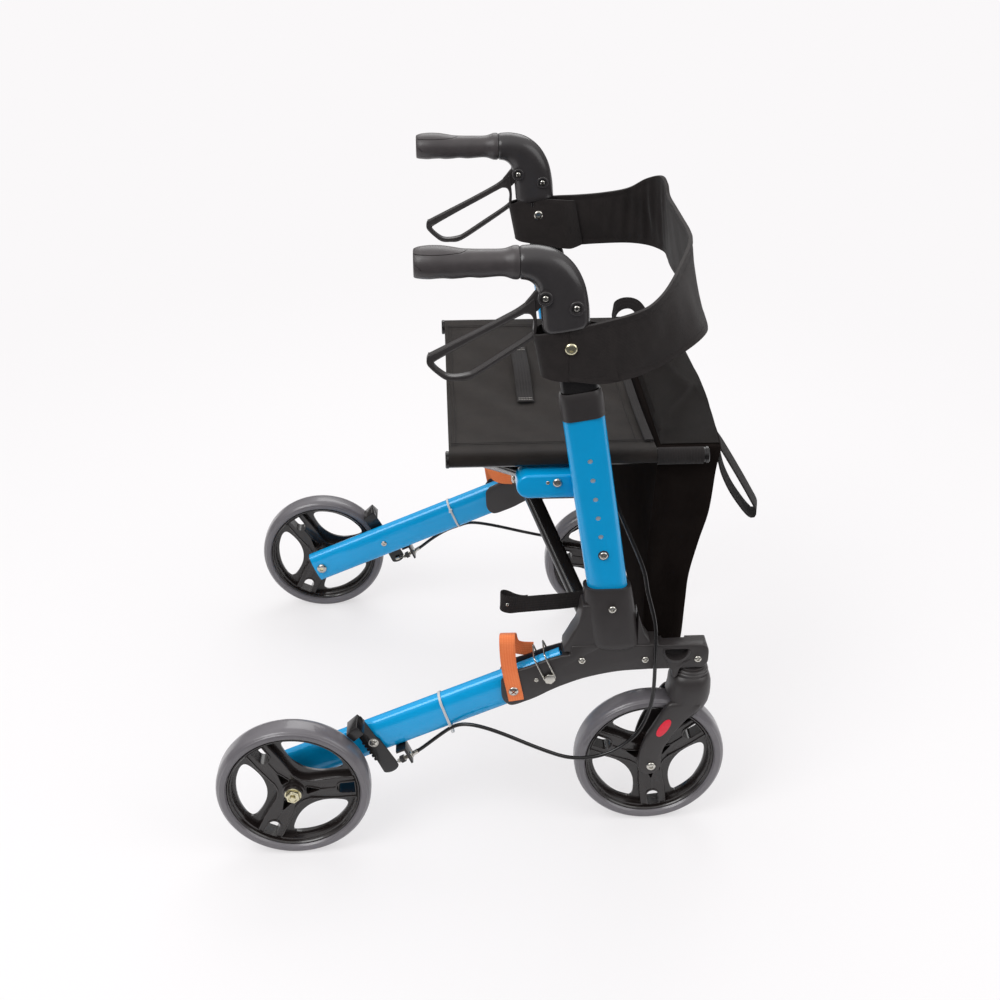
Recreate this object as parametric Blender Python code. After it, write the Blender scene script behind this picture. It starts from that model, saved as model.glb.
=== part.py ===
# Folding rollator: a four-wheeled walking frame with a fabric seat, a webbing backrest and a front bag.
# Metres, +Z up, +X forward (the casters lead), +Y to the user's left.
# The left side is modelled and mirrored for the right side; the right side frame is the fixed one.

import bmesh
import bpy
from math import cos, hypot, pi, radians, sin, tan
from mathutils import Matrix, Vector

# General clearances
GAP = 0.0003            # between faces that touch
SLIDE_GAP = 0.0004      # between faces that slide on each other

# Wheels
WHEEL_R = 0.100         # eight inch wheels
TYRE_W = 0.034
TYRE_DEPTH = 0.014
RIM_DEPTH = 0.009
RIM_W = 0.028
WEB_W = 0.014
HUB_R = 0.0145
AXLE_R = 0.004
WHEEL_SIDES = 32

# Side frames: oval tubes in one upright plane on each side
SIDE_Y = 0.258          # plane of the tubes, casters and handles
TUBE_D = 0.050          # long side of the oval
TUBE_W = 0.024          # short side of the oval
TUBE_WALL = 0.0020

# Rear legs, which fold up about their pivot bolts
LEG_PIVOT = (0.132, 0.240)
REAR_AXLE = (-0.200, WHEEL_R)
REAR_WHEEL_Y = 0.304
LEG_FRONT = 0.024       # tube in front of the pivot
LEG_REAR = 0.012        # tube behind the axle

# Uprights lean back; the handle stems slide in them
UPRIGHT_FOOT = (0.2025, 0.372)
UPRIGHT_LEAN = 8.9      # degrees from the vertical
UPRIGHT_TOP_DOWN = 0.1885      # tube's end below the grip's axis
UPRIGHT_IN_SOCKET = 0.084
COLLAR_H = 0.034
HOLE_PITCH = 0.025
HOLE_COUNT = 6
HOLE_R = 0.0032
LOWEST_HOLE = 0.0445    # above the upright's foot, along the tube
STEM_FIT = 0.0055       # stem smaller than the tube all round
STEM_WALL = 0.0018

# Moulded lower castings
CHEEK = 0.004
HEAD_BOTTOM_Z = 0.2475
HEAD_FRONT_X = 0.3355
HEAD_TOP_Z = 0.302
SOCKET_TOP_Z = 0.368
COLUMN_T = 0.039
LUG_REAR_X = 0.152
LUG_FRONT_X = 0.286
LUG_T = 0.009
LUG_R = 0.0115

# Casters
STEM_X = 0.3165
FRONT_AXLE = (0.268, WHEEL_R)
CASTER_STEM_R = 0.006
FORK_W = 0.054
FORK_LEG = 0.007
NECK_R = 0.0205
NECK_TOP_Z = 0.2468

# Scissor frames and seat
CROSS_PIVOT_Z = 0.245
CROSS_PIVOT_R = 0.006
SLEEVE_R = 0.011
RAIL_Y = 0.222
RAIL_Z = 0.527
RAIL_R = 0.011
RAIL_REAR_X = 0.005
RAIL_FRONT_X = 0.326
RAIL_CAP = 0.004
CROSS_LOW_X = 0.205     # foot of the right-hand tube
CROSS_TOP_X = 0.025
CROSS_STEP_X = 0.026    # the left-hand tube stands this much further forward
CROSS_D = 0.022
CROSS_W = 0.018
SEAT_REAR_X = RAIL_REAR_X + RAIL_CAP + GAP
SEAT_FRONT_X = 0.262
SEAT_T = 0.0020
SEAT_SAG = 0.012

# Seat rail arms
ARM_REAR_X = 0.090
ARM_FRONT_X = 0.184
ARM_H = 0.031

# Handles
GRIP_Z = 0.7865
GRIP_LENGTH = 0.1167
GRIP_BEHIND = 0.0469    # grip's front end behind the stem's line
GRIP_FLANGE_R = 0.0186
SPIGOT_R = 0.0105
BODY_W = 0.038
BODY_DOWN = 0.0805      # foot of the body below the grip's axis
LEVER_T = 0.011

# Brakes
BRAKE_ALONG = 0.248     # brake pivot, along the leg from its own pivot
BRAKE_ARM_T = 0.003
BRAKE_PIN_R = 0.003
SHOE_GAP = 0.0030
SHOE_ANGLE = 43.0       # round the wheel from the horizontal
BARREL_TILT = 8.0       # cable adjuster, degrees steeper than the leg
CABLE_R = 0.0025

# Release latches
WIRE_R = 0.0012
BAIL_H = 0.045
BAIL_HALF = 0.0085

# Soft parts
BAND_T = 0.004
BAG_FRONT_X = 0.352
BAG_REAR_X = 0.266
BAG_TOP_Z = 0.533
BAG_FLOOR_Z = 0.225
BAG_HALF_Y = RAIL_Y - RAIL_R - 0.0008 - GAP
BAG_BULGE = 0.010
BAG_LOOP_TIP_X = 0.410

# The row's origin lies halfway between the rear tyre and the tip of the bag's loop
MID_X = (REAR_AXLE[0] - WHEEL_R + BAG_LOOP_TIP_X) / 2

# Values that follow from the ones above
REAR_AXLE_V = Vector((REAR_AXLE[0], 0, REAR_AXLE[1]))
LEG_PIVOT_V = Vector((LEG_PIVOT[0], 0, LEG_PIVOT[1]))
LEG_LENGTH = (LEG_PIVOT_V - REAR_AXLE_V).length
LEG_U = (LEG_PIVOT_V - REAR_AXLE_V).normalized()        # towards the front
LEG_V = Vector((-LEG_U.z, 0, LEG_U.x))                  # square to it, upwards
LEAN = radians(UPRIGHT_LEAN)
HANDLE_X = UPRIGHT_FOOT[0] - tan(LEAN) * (GRIP_Z - UPRIGHT_FOOT[1])
GRIP_FRONT_X = HANDLE_X - GRIP_BEHIND
GRIP_REAR_X = GRIP_FRONT_X - GRIP_LENGTH
BODY_FOOT_Z = GRIP_Z - BODY_DOWN
UPRIGHT_TOP_Z = GRIP_Z - UPRIGHT_TOP_DOWN
LEVER_PIVOT = (HANDLE_X - 0.0186, GRIP_Z - 0.0365)
STEM_D = TUBE_D - STEM_FIT
STEM_W = TUBE_W - STEM_FIT
BARREL_DIR = LEG_U * cos(radians(BARREL_TILT)) + LEG_V * sin(radians(BARREL_TILT))
UP_W = Vector((-sin(LEAN), 0, cos(LEAN)))               # up the tube
UP_U = Vector((cos(LEAN), 0, sin(LEAN)))                # forward across it
UP_FOOT = Vector((UPRIGHT_FOOT[0], SIDE_Y, UPRIGHT_FOOT[1]))
UPRIGHT_LENGTH = (UPRIGHT_TOP_Z - UPRIGHT_FOOT[1]) / cos(LEAN)
CAST_W = TUBE_W + 2 * CHEEK + 2 * SLIDE_GAP
CAST_IN = SIDE_Y - CAST_W / 2
CAST_OUT = SIDE_Y + CAST_W / 2
LEG_OUT = SIDE_Y + TUBE_W / 2
LEG_IN = SIDE_Y - TUBE_W / 2
BRAKE_PIVOT = LEG_PIVOT_V - LEG_U * BRAKE_ALONG
ARM_TOP_Z = RAIL_Z - RAIL_R - SEAT_T - 2 * GAP
CROSS_CENTRE_Z = (CROSS_PIVOT_Z + RAIL_Z) / 2

BODIES = {}


def clear_scene():
    for ob in list(bpy.data.objects):
        bpy.data.objects.remove(ob, do_unlink=True)


def material(name, colour, roughness, metallic=0.0):
    mat = bpy.data.materials.new(name)
    mat.use_nodes = True
    bsdf = mat.node_tree.nodes["Principled BSDF"]
    bsdf.inputs["Base Color"].default_value = (*colour, 1.0)
    bsdf.inputs["Roughness"].default_value = roughness
    bsdf.inputs["Metallic"].default_value = metallic
    return mat


# Looks by name: colour, roughness, metallic
LOOKS = {
    "blue_paint": ((0.014, 0.28, 0.62), 0.28, 0.35),
    "moulded_black": ((0.045, 0.042, 0.043), 0.55, 0.0),
    "handle_black": ((0.04, 0.04, 0.042), 0.4, 0.0),
    "grip_rubber": ((0.055, 0.052, 0.053), 0.75, 0.0),
    "lever_grey": ((0.085, 0.078, 0.076), 0.45, 0.0),
    "tyre_grey": ((0.13, 0.125, 0.13), 0.6, 0.0),
    "rim_black": ((0.03, 0.028, 0.028), 0.5, 0.0),
    "zinc": ((0.65, 0.63, 0.6), 0.3, 1.0),
    "black_steel": ((0.03, 0.028, 0.03), 0.35, 0.3),
    "orange_webbing": ((0.9, 0.2, 0.05), 0.8, 0.0),
    "black_webbing": ((0.02, 0.018, 0.018), 0.85, 0.0),
    "seat_cloth": ((0.028, 0.024, 0.022), 0.85, 0.0),
    "bag_cloth": ((0.02, 0.018, 0.018), 0.8, 0.0),
    "cable_black": ((0.02, 0.02, 0.02), 0.5, 0.0),
}


# Outlines and solids

def arc(centre, radius, start, end, steps):
    """Points on an arc in a plane, angles in degrees."""
    points = []
    for k in range(steps + 1):
        a = radians(start + (end - start) * k / steps)
        points.append((centre[0] + radius * cos(a), centre[1] + radius * sin(a)))
    return points


def oval(length, width, steps=4):
    """A stadium outline with its long side on the first axis."""
    r = width / 2
    c = length / 2 - r
    return arc((c, 0), r, -90, 90, steps) + arc((-c, 0), r, 90, 270, steps)


def loft(rings, closed=False):
    """Skin over rings of equal count, capped unless the rings close on themselves."""
    bm = bmesh.new()
    verts = [[bm.verts.new(p) for p in ring] for ring in rings]
    count = len(verts[0])
    last = len(verts) if closed else len(verts) - 1
    for i in range(last):
        a, b = verts[i], verts[(i + 1) % len(verts)]
        for k in range(count):
            n = (k + 1) % count
            bm.faces.new((a[k], a[n], b[n], b[k]))
    if not closed:
        bm.faces.new(reversed(verts[0]))
        bm.faces.new(verts[-1])
    bmesh.ops.recalc_face_normals(bm, faces=bm.faces[:])
    return bm


def hollow(outer, inner):
    """An open tube: outer and inner rings in step, joined at both ends."""
    bm = bmesh.new()
    out = [[bm.verts.new(p) for p in ring] for ring in outer]
    core = [[bm.verts.new(p) for p in ring] for ring in inner]
    count = len(out[0])
    for rings in (out, core):
        for a, b in zip(rings, rings[1:]):
            for k in range(count):
                n = (k + 1) % count
                bm.faces.new((a[k], a[n], b[n], b[k]))
    for a, b in ((out[0], core[0]), (out[-1], core[-1])):
        for k in range(count):
            n = (k + 1) % count
            bm.faces.new((a[k], a[n], b[n], b[k]))
    bmesh.ops.recalc_face_normals(bm, faces=bm.faces[:])
    return bm


def solid(bm, name="solid"):
    mesh = bpy.data.meshes.new(name)
    bm.to_mesh(mesh)
    bm.free()
    ob = bpy.data.objects.new(name, mesh)
    bpy.context.scene.collection.objects.link(ob)
    return ob


def prism(outline, y0, y1):
    """An outline in x and z, extruded along y."""
    return solid(loft([[Vector((x, y, z)) for x, z in outline] for y in (y0, y1)]))


def turned(profile, centre, axis, sides, closed=False):
    """A profile of (radius, height) turned about an axis; closed for a ring."""
    axis = Vector(axis).normalized()
    side = axis.orthogonal().normalized()
    if abs(axis.y) > 0.9:
        side = Vector((1, 0, 0))
    other = axis.cross(side)
    rings = []
    for r, h in profile:
        ring = []
        for k in range(sides):
            a = 2 * pi * (k + 0.5) / sides
            ring.append(Vector(centre) + axis * h + side * (r * cos(a)) + other * (r * sin(a)))
        rings.append(ring)
    return solid(loft(rings, closed))


def rod(start, end, radius, sides=12):
    start, end = Vector(start), Vector(end)
    return turned([(radius, 0), (radius, (end - start).length)], start, end - start, sides)


def swept_oval(foot, u, v, w, size, w0, w1, wall=None):
    """An oval tube along w, open right through where it has a wall."""
    def ring(length, width, at):
        return [foot + u * p + v * q + w * at for p, q in oval(length, width)]
    outer = [ring(*size, at) for at in (w0, w1)]
    if wall is None:
        return solid(loft(outer))
    inner = [ring(size[0] - 2 * wall, size[1] - 2 * wall, at) for at in (w0, w1)]
    return solid(hollow(outer, inner))


def wire(path, radius, sides=6, closed=False):
    """A round wire along a path, with its section carried along without twist."""
    points = [Vector(p) for p in path]
    count = len(points)
    tangents = []
    for k in range(count):
        before = points[k - 1] if closed or k else points[0]
        after = points[(k + 1) % count] if closed or k < count - 1 else points[-1]
        tangents.append((after - before).normalized())
    normal = tangents[0].orthogonal().normalized()
    rings = []
    for p, t in zip(points, tangents):
        normal = (normal - t * normal.dot(t)).normalized()
        side = t.cross(normal)
        rings.append([p + (normal * cos(a) + side * sin(a)) * radius
                      for a in (2 * pi * k / sides for k in range(sides))])
    return solid(loft(rings, closed))


def ribbon(path, across, width, thickness, closed=False):
    """A flat strip along a path; across gives the direction of its width at each point."""
    points = [Vector(p) for p in path]
    count = len(points)
    rings = []
    for k, p in enumerate(points):
        before = points[k - 1] if closed or k else points[0]
        after = points[(k + 1) % count] if closed or k < count - 1 else points[-1]
        t = (after - before).normalized()
        a = Vector(across[k] if isinstance(across, list) else across)
        a = (a - t * a.dot(t)).normalized() * (width / 2)
        n = t.cross(a).normalized() * (thickness / 2)
        rings.append([p + a + n, p - a + n, p - a - n, p + a - n])
    return solid(loft(rings, closed))


def smooth_route(points, spacing, tension=0.5):
    """Evenly spaced points on a smooth curve through the given ones."""
    pts = [Vector(p) for p in points]
    pts = [2 * pts[0] - pts[1]] + pts + [2 * pts[-1] - pts[-2]]
    fine = []
    for i in range(1, len(pts) - 2):
        a, b, c, d = pts[i - 1:i + 3]
        for k in range(24):
            t = k / 24
            m0, m1 = (c - a) * tension, (d - b) * tension
            fine.append((2 * t**3 - 3 * t**2 + 1) * b + (t**3 - 2 * t**2 + t) * m0
                        + (-2 * t**3 + 3 * t**2) * c + (t**3 - t**2) * m1)
    fine.append(pts[-2])
    length = sum((q - p).length for p, q in zip(fine, fine[1:]))
    steps = max(2, round(length / spacing))
    out, walked, target = [fine[0]], 0.0, length / steps
    for p, q in zip(fine, fine[1:]):
        leg = (q - p).length
        while walked + leg >= target - 1e-9 and len(out) < steps:
            out.append(p.lerp(q, (target - walked) / leg))
            target += length / steps
        walked += leg
    out.append(fine[-1])
    return out


def apply_modifiers(ob):
    bpy.context.view_layer.update()
    deps = bpy.context.evaluated_depsgraph_get()
    mesh = bpy.data.meshes.new_from_object(ob.evaluated_get(deps))
    ob.modifiers.clear()
    ob.data = mesh
    return ob


def combine(target, others, operation):
    """Booleans the others into the target, one at a time, and removes them."""
    for other in others:
        mod = target.modifiers.new("shape", "BOOLEAN")
        mod.operation = operation
        mod.solver = "EXACT"
        mod.object = other
        apply_modifiers(target)
        bpy.data.objects.remove(other, do_unlink=True)
    return target


def cut(target, *others):
    return combine(target, others, "DIFFERENCE")


def fuse(target, *others):
    return combine(target, others, "UNION")


def rounded(ob, width, segments=2, angle=40):
    mod = ob.modifiers.new("edges", "BEVEL")
    mod.width = width
    mod.segments = segments
    mod.limit_method = "ANGLE"
    mod.angle_limit = radians(angle)
    return apply_modifiers(ob)


# Bodies and nodes

def body(name, origin, parent=None):
    """An empty on a body's joint axis, which carries the body's pieces."""
    empty = bpy.data.objects.new(name + "_axis", None)
    bpy.context.scene.collection.objects.link(empty)
    empty.location = Vector(origin)
    BODIES[name] = empty
    if parent is not None:
        empty.parent = BODIES[parent]
        empty.location = Vector(origin) - origin_of(parent)
    return empty


def origin_of(name):
    spot, empty = Vector((0, 0, 0)), BODIES[name]
    while empty is not None:
        if empty.name != "rollator":
            spot += empty.location
        empty = empty.parent
    return spot


def node(name, ob, look, on):
    """Names a finished solid and hangs it on its body without moving it."""
    ob.name = name
    ob.data.name = name
    offset = origin_of(on)
    ob.data.transform(Matrix.Translation(-offset))
    ob.parent = BODIES[on]
    finish(ob, look)
    return ob


def finish(ob, look):
    colour, roughness, metallic = LOOKS[look]
    ob.data.materials.clear()
    ob.data.materials.append(material(ob.name, colour, roughness, metallic))
    ob.data.shade_smooth()
    ob.data.set_sharp_from_angle(angle=radians(35))


def pair(name, ob, look, on):
    """A left piece and its mirror image on the right."""
    mesh = ob.data.copy()
    mesh.transform(Matrix.Scale(-1, 4, Vector((0, 1, 0))))
    mesh.flip_normals()
    twin = bpy.data.objects.new(name + "_right", mesh)
    bpy.context.scene.collection.objects.link(twin)
    node(name + "_left", ob, look, on + "_left")
    node(name + "_right", twin, look, on + "_right")


def make_bodies():
    root = bpy.data.objects.new("rollator", None)
    bpy.context.scene.collection.objects.link(root)
    root.location = (-MID_X, 0, 0)
    low = Vector((CROSS_LOW_X, RAIL_Y, CROSS_PIVOT_Z))
    for side, s in (("left", 1), ("right", -1)):
        body("frame_" + side, (0, s * SIDE_Y, 0) if s < 0 else low)
    body("cross_a", (low.x, -low.y, low.z))
    body("cross_b", (low.x, 0, CROSS_CENTRE_Z))
    for side, s in (("left", 1), ("right", -1)):
        frame = "frame_" + side
        body("leg_" + side, (LEG_PIVOT[0], s * SIDE_Y, LEG_PIVOT[1]), frame)
        body("latch_" + side, (LEG_PIVOT[0], s * SIDE_Y, LEG_PIVOT[1]), frame)
        body("rear_wheel_" + side, (REAR_AXLE[0], s * REAR_WHEEL_Y, REAR_AXLE[1]), "leg_" + side)
        body("brake_" + side, (BRAKE_PIVOT.x, s * SIDE_Y, BRAKE_PIVOT.z), "leg_" + side)
        body("caster_" + side, (STEM_X, s * SIDE_Y, NECK_TOP_Z), frame)
        body("front_wheel_" + side, (FRONT_AXLE[0], s * SIDE_Y, FRONT_AXLE[1]), "caster_" + side)
        body("handle_" + side, (UPRIGHT_FOOT[0], s * SIDE_Y, UPRIGHT_FOOT[1]), frame)
        body("lever_" + side, (LEVER_PIVOT[0], s * SIDE_Y, LEVER_PIVOT[1]), "handle_" + side)
    for name in ("frame_left", "frame_right", "cross_a", "cross_b"):
        BODIES[name].parent = root


# Wheels

def tyre_mesh():
    half = TYRE_W / 2
    inner = WHEEL_R - TYRE_DEPTH
    grow = 1 / cos(pi / WHEEL_SIDES)        # so that the flats, not the corners, lie on the radius
    profile = [
        (inner, -RIM_W / 2), (inner, RIM_W / 2),
        (inner + 0.005, half), (WHEEL_R - 0.003, half - 0.003), (WHEEL_R, half - 0.011),
        (WHEEL_R, -half + 0.011), (WHEEL_R - 0.003, -half + 0.003), (inner + 0.005, -half),
    ]
    profile = [(r * grow, h) for r, h in profile]
    return turned(profile, (0, 0, 0), (0, 1, 0), WHEEL_SIDES, closed=True)


def rim_mesh():
    """Three forked spokes between large oval openings, with a small window in each fork."""
    seat = WHEEL_R - TYRE_DEPTH - GAP
    inner = seat - RIM_DEPTH
    grow = 1 / cos(pi / WHEEL_SIDES)
    ring = turned(
        [(inner * grow, -RIM_W / 2), (inner * grow, RIM_W / 2), (seat * grow, RIM_W / 2), (seat * grow, -RIM_W / 2)],
        (0, 0, 0), (0, 1, 0), WHEEL_SIDES, closed=True)
    web = turned([(inner * grow + 0.002, -WEB_W / 2), (inner * grow + 0.002, WEB_W / 2)],
                 (0, 0, 0), (0, 1, 0), WHEEL_SIDES)
    opening_r, opening_half, opening_side = 0.0465, 0.0235, 0.037
    window_r, window_w = 0.060, 0.013
    for k in range(3):
        spoke = 2 * pi * k / 3
        gap = spoke + pi / 3
        outline = []
        for j in range(12):
            a = 2 * pi * j / 12
            u = opening_r + opening_half * cos(a)
            v = opening_side * sin(a)
            outline.append((u * cos(gap) - v * sin(gap), u * sin(gap) + v * cos(gap)))
        cut(web, prism(outline, -WEB_W, WEB_W))
        window = []
        for u, v in arc((window_r, 0), window_w / 2, 90, 270, 3) + [(inner, -window_w / 2), (inner, window_w / 2)]:
            window.append((u * cos(spoke) - v * sin(spoke), u * sin(spoke) + v * cos(spoke)))
        cut(web, prism(window, -WEB_W, WEB_W))
    hub = rod((0, -TYRE_W / 2, 0), (0, TYRE_W / 2, 0), HUB_R, 12)
    fuse(ring, web, hub)
    return cut(ring, rod((0, -TYRE_W, 0), (0, TYRE_W, 0), AXLE_R + SLIDE_GAP, 12))


def make_wheels():
    tyre, rim = tyre_mesh(), rim_mesh()
    turns = {"rear_wheel_right": 3, "front_wheel_right": 30, "rear_wheel_left": -8, "front_wheel_left": 50}
    for on, turn in turns.items():
        end, _, side = on.split("_")
        for part, look, source in (("tyre", "tyre_grey", tyre), ("rim", "rim_black", rim)):
            ob = bpy.data.objects.new(f"{end}_{part}_{side}", source.data.copy())
            bpy.context.scene.collection.objects.link(ob)
            ob.parent = BODIES[on]
            ob.rotation_euler = (0, radians(-turn), 0)
            finish(ob, look)
    for ob in (tyre, rim):
        bpy.data.objects.remove(ob, do_unlink=True)


# Rear legs with their axles, pedals and brakes

def leg_point(u, v, y=SIDE_Y):
    """A point given along the leg from its pivot (u) and square to it (v)."""
    p = LEG_PIVOT_V + LEG_U * u + LEG_V * v
    return Vector((p.x, y, p.z))


def make_legs():
    foot = leg_point(0, 0)
    rear = -(LEG_LENGTH + LEG_REAR)
    v, across = LEG_V, Vector((0, 1, 0))
    tube = swept_oval(foot, v, across, LEG_U, (TUBE_D, TUBE_W), rear, LEG_FRONT, TUBE_WALL)
    # the lower front corner is rounded about the pivot so that the tube can fold up
    swing = TUBE_D / 2 + 0.0012
    outline = [(swing * cos(radians(a)), swing * sin(radians(a))) for a in range(-90, 21, 10)]
    outline += [(0.06, swing * sin(radians(20))), (0.06, -0.06), (0.0, -0.06)]
    corner = prism([((LEG_PIVOT_V + LEG_U * p + LEG_V * q).x, (LEG_PIVOT_V + LEG_U * p + LEG_V * q).z)
                    for p, q in outline], SIDE_Y - TUBE_W, SIDE_Y + TUBE_W)
    bores = [
        rod(leg_point(0, 0, LEG_IN - 0.01), leg_point(0, 0, LEG_OUT + 0.01), AXLE_R + SLIDE_GAP),
        rod(leg_point(-LEG_LENGTH, 0, LEG_IN - 0.01), leg_point(-LEG_LENGTH, 0, LEG_OUT + 0.01), AXLE_R + GAP),
        rod(leg_point(-BRAKE_ALONG, 0, SIDE_Y), leg_point(-BRAKE_ALONG, 0, LEG_OUT + 0.01), BRAKE_PIN_R + SLIDE_GAP),
    ]
    cut(tube, corner, *bores)
    pair("leg_tube", tube, "blue_paint", "leg")
    make_pedal(rear)
    make_axles()
    make_brakes()


def make_pedal(rear):
    """A plug in the tube's end that carries the kerb pedal."""
    end = leg_point(rear - GAP, 0)
    wall = TUBE_WALL + SLIDE_GAP
    plug = swept_oval(end, LEG_V, Vector((0, 1, 0)), LEG_U,
                      (TUBE_D - 2 * wall, TUBE_W - 2 * wall), -0.004, LEG_REAR - AXLE_R - 0.001)
    cap = swept_oval(end, LEG_V, Vector((0, 1, 0)), LEG_U, (TUBE_D, TUBE_W), -0.005, 0)
    # side outline of the pedal behind the cap, along and square to the leg
    outline = [(0, 0.020), (-0.020, 0.024), (-0.040, 0.020), (-0.056, 0.008), (-0.062, -0.006),
               (-0.056, -0.016), (-0.040, -0.014), (-0.020, -0.014), (0, -0.022)]
    pts = []
    for p, q in outline:
        spot = end + LEG_U * (p - 0.003) + LEG_V * q
        pts.append((spot.x, spot.z))
    half = TUBE_W / 2 - 0.002
    pedal = rounded(prism(pts, SIDE_Y - half, SIDE_Y + half), 0.002, 1)
    pair("kerb_pedal", fuse(cap, plug, pedal), "moulded_black", "leg")


def make_axles():
    axle = leg_point(-LEG_LENGTH, 0, 0)
    hub_in, hub_out = REAR_WHEEL_Y - TYRE_W / 2, REAR_WHEEL_Y + TYRE_W / 2
    def at(y):
        return Vector((axle.x, y, axle.z))
    bolt = rod(at(LEG_IN - 0.003), at(hub_out + 0.010), AXLE_R)
    fuse(bolt,
         rod(at(LEG_IN - 0.004), at(LEG_IN - GAP), 0.0075, 12),
         rod(at(LEG_OUT + GAP), at(hub_in - GAP), 0.0085, 12),
         rod(at(hub_out + GAP), at(hub_out + 0.0075), 0.0098, 6))
    pair("rear_axle", bolt, "zinc", "leg")


def make_brakes():
    """A swinging arm on the leg's outer face: shoe over the tyre, cable at the lower end."""
    pivot = Vector((BRAKE_PIVOT.x, 0, BRAKE_PIVOT.z))
    y0 = LEG_OUT + 0.0012
    y1 = y0 + BRAKE_ARM_T
    shoe_dir = Vector((cos(radians(SHOE_ANGLE)), 0, sin(radians(SHOE_ANGLE))))
    along = Vector((-shoe_dir.z, 0, shoe_dir.x))
    foot = REAR_AXLE_V + shoe_dir * (WHEEL_R + SHOE_GAP)
    shoe_h, shoe_half = 0.019, 0.007
    shoe = [foot - along * shoe_half, foot + shoe_dir * shoe_h - along * shoe_half,
            foot + shoe_dir * shoe_h + along * shoe_half, foot + along * shoe_half]
    block = prism([(p.x, p.z) for p in shoe], y0, REAR_WHEEL_Y - 0.004)
    low = pivot + Vector((0.020, 0, -0.041))
    top = foot + shoe_dir * (shoe_h / 2)
    bar = (low - top).normalized()
    side = Vector((-bar.z, 0, bar.x))
    half, low_half = 0.0085, 0.0115
    plate = [top - bar * 0.004 - side * half, pivot - side * low_half, low + bar * 0.006 - side * low_half,
             low + bar * 0.006 + side * low_half, pivot + side * low_half, top - bar * 0.004 + side * half]
    arm = prism([(p.x, p.z) for p in plate], y0, y1)
    # its pin turns in a hole in the leg
    pin = rod((pivot.x, LEG_IN + 0.008, pivot.z), (pivot.x, y1, pivot.z), BRAKE_PIN_R)
    head = rod((pivot.x, y1 - 0.001, pivot.z), (pivot.x, y1 + 0.0030, pivot.z), 0.0058)
    fuse(arm, block, pin, head)
    pair("brake_arm", arm, "moulded_black", "brake")
    # cable stop with its barrel under the tube
    stop_u = -(BRAKE_ALONG - 0.029)
    top_v = -TUBE_D / 2 - GAP
    spots = [(stop_u - 0.010, top_v), (stop_u + 0.004, top_v), (stop_u + 0.004, top_v - 0.020),
             (stop_u + 0.001, top_v - 0.020), (stop_u + 0.001, top_v - 0.003), (stop_u - 0.010, top_v - 0.003)]
    pts = [leg_point(p, q) for p, q in spots]
    bracket = prism([(p.x, p.z) for p in pts], SIDE_Y - 0.004, y1 + 0.004)
    barrel_start = barrel_point(-0.011)
    barrel_end = barrel_point(0.012)
    barrel = rod(barrel_start, barrel_end, 0.0033, 8)
    fuse(barrel, rod(barrel_point(-0.006), barrel_point(-0.001), 0.0048, 8),
         rod(barrel_point(0.005), barrel_point(0.008), 0.0048, 8))
    fuse(barrel, bracket)
    pair("cable_stop", barrel, "zinc", "leg")


def barrel_point(along):
    """A point on the cable adjuster's axis, which rises towards the leg above it."""
    centre = leg_point(-(BRAKE_ALONG - 0.0315), -TUBE_D / 2 - GAP - 0.0140, SIDE_Y + 0.013)
    return centre + BARREL_DIR * along


# Side frames

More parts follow.
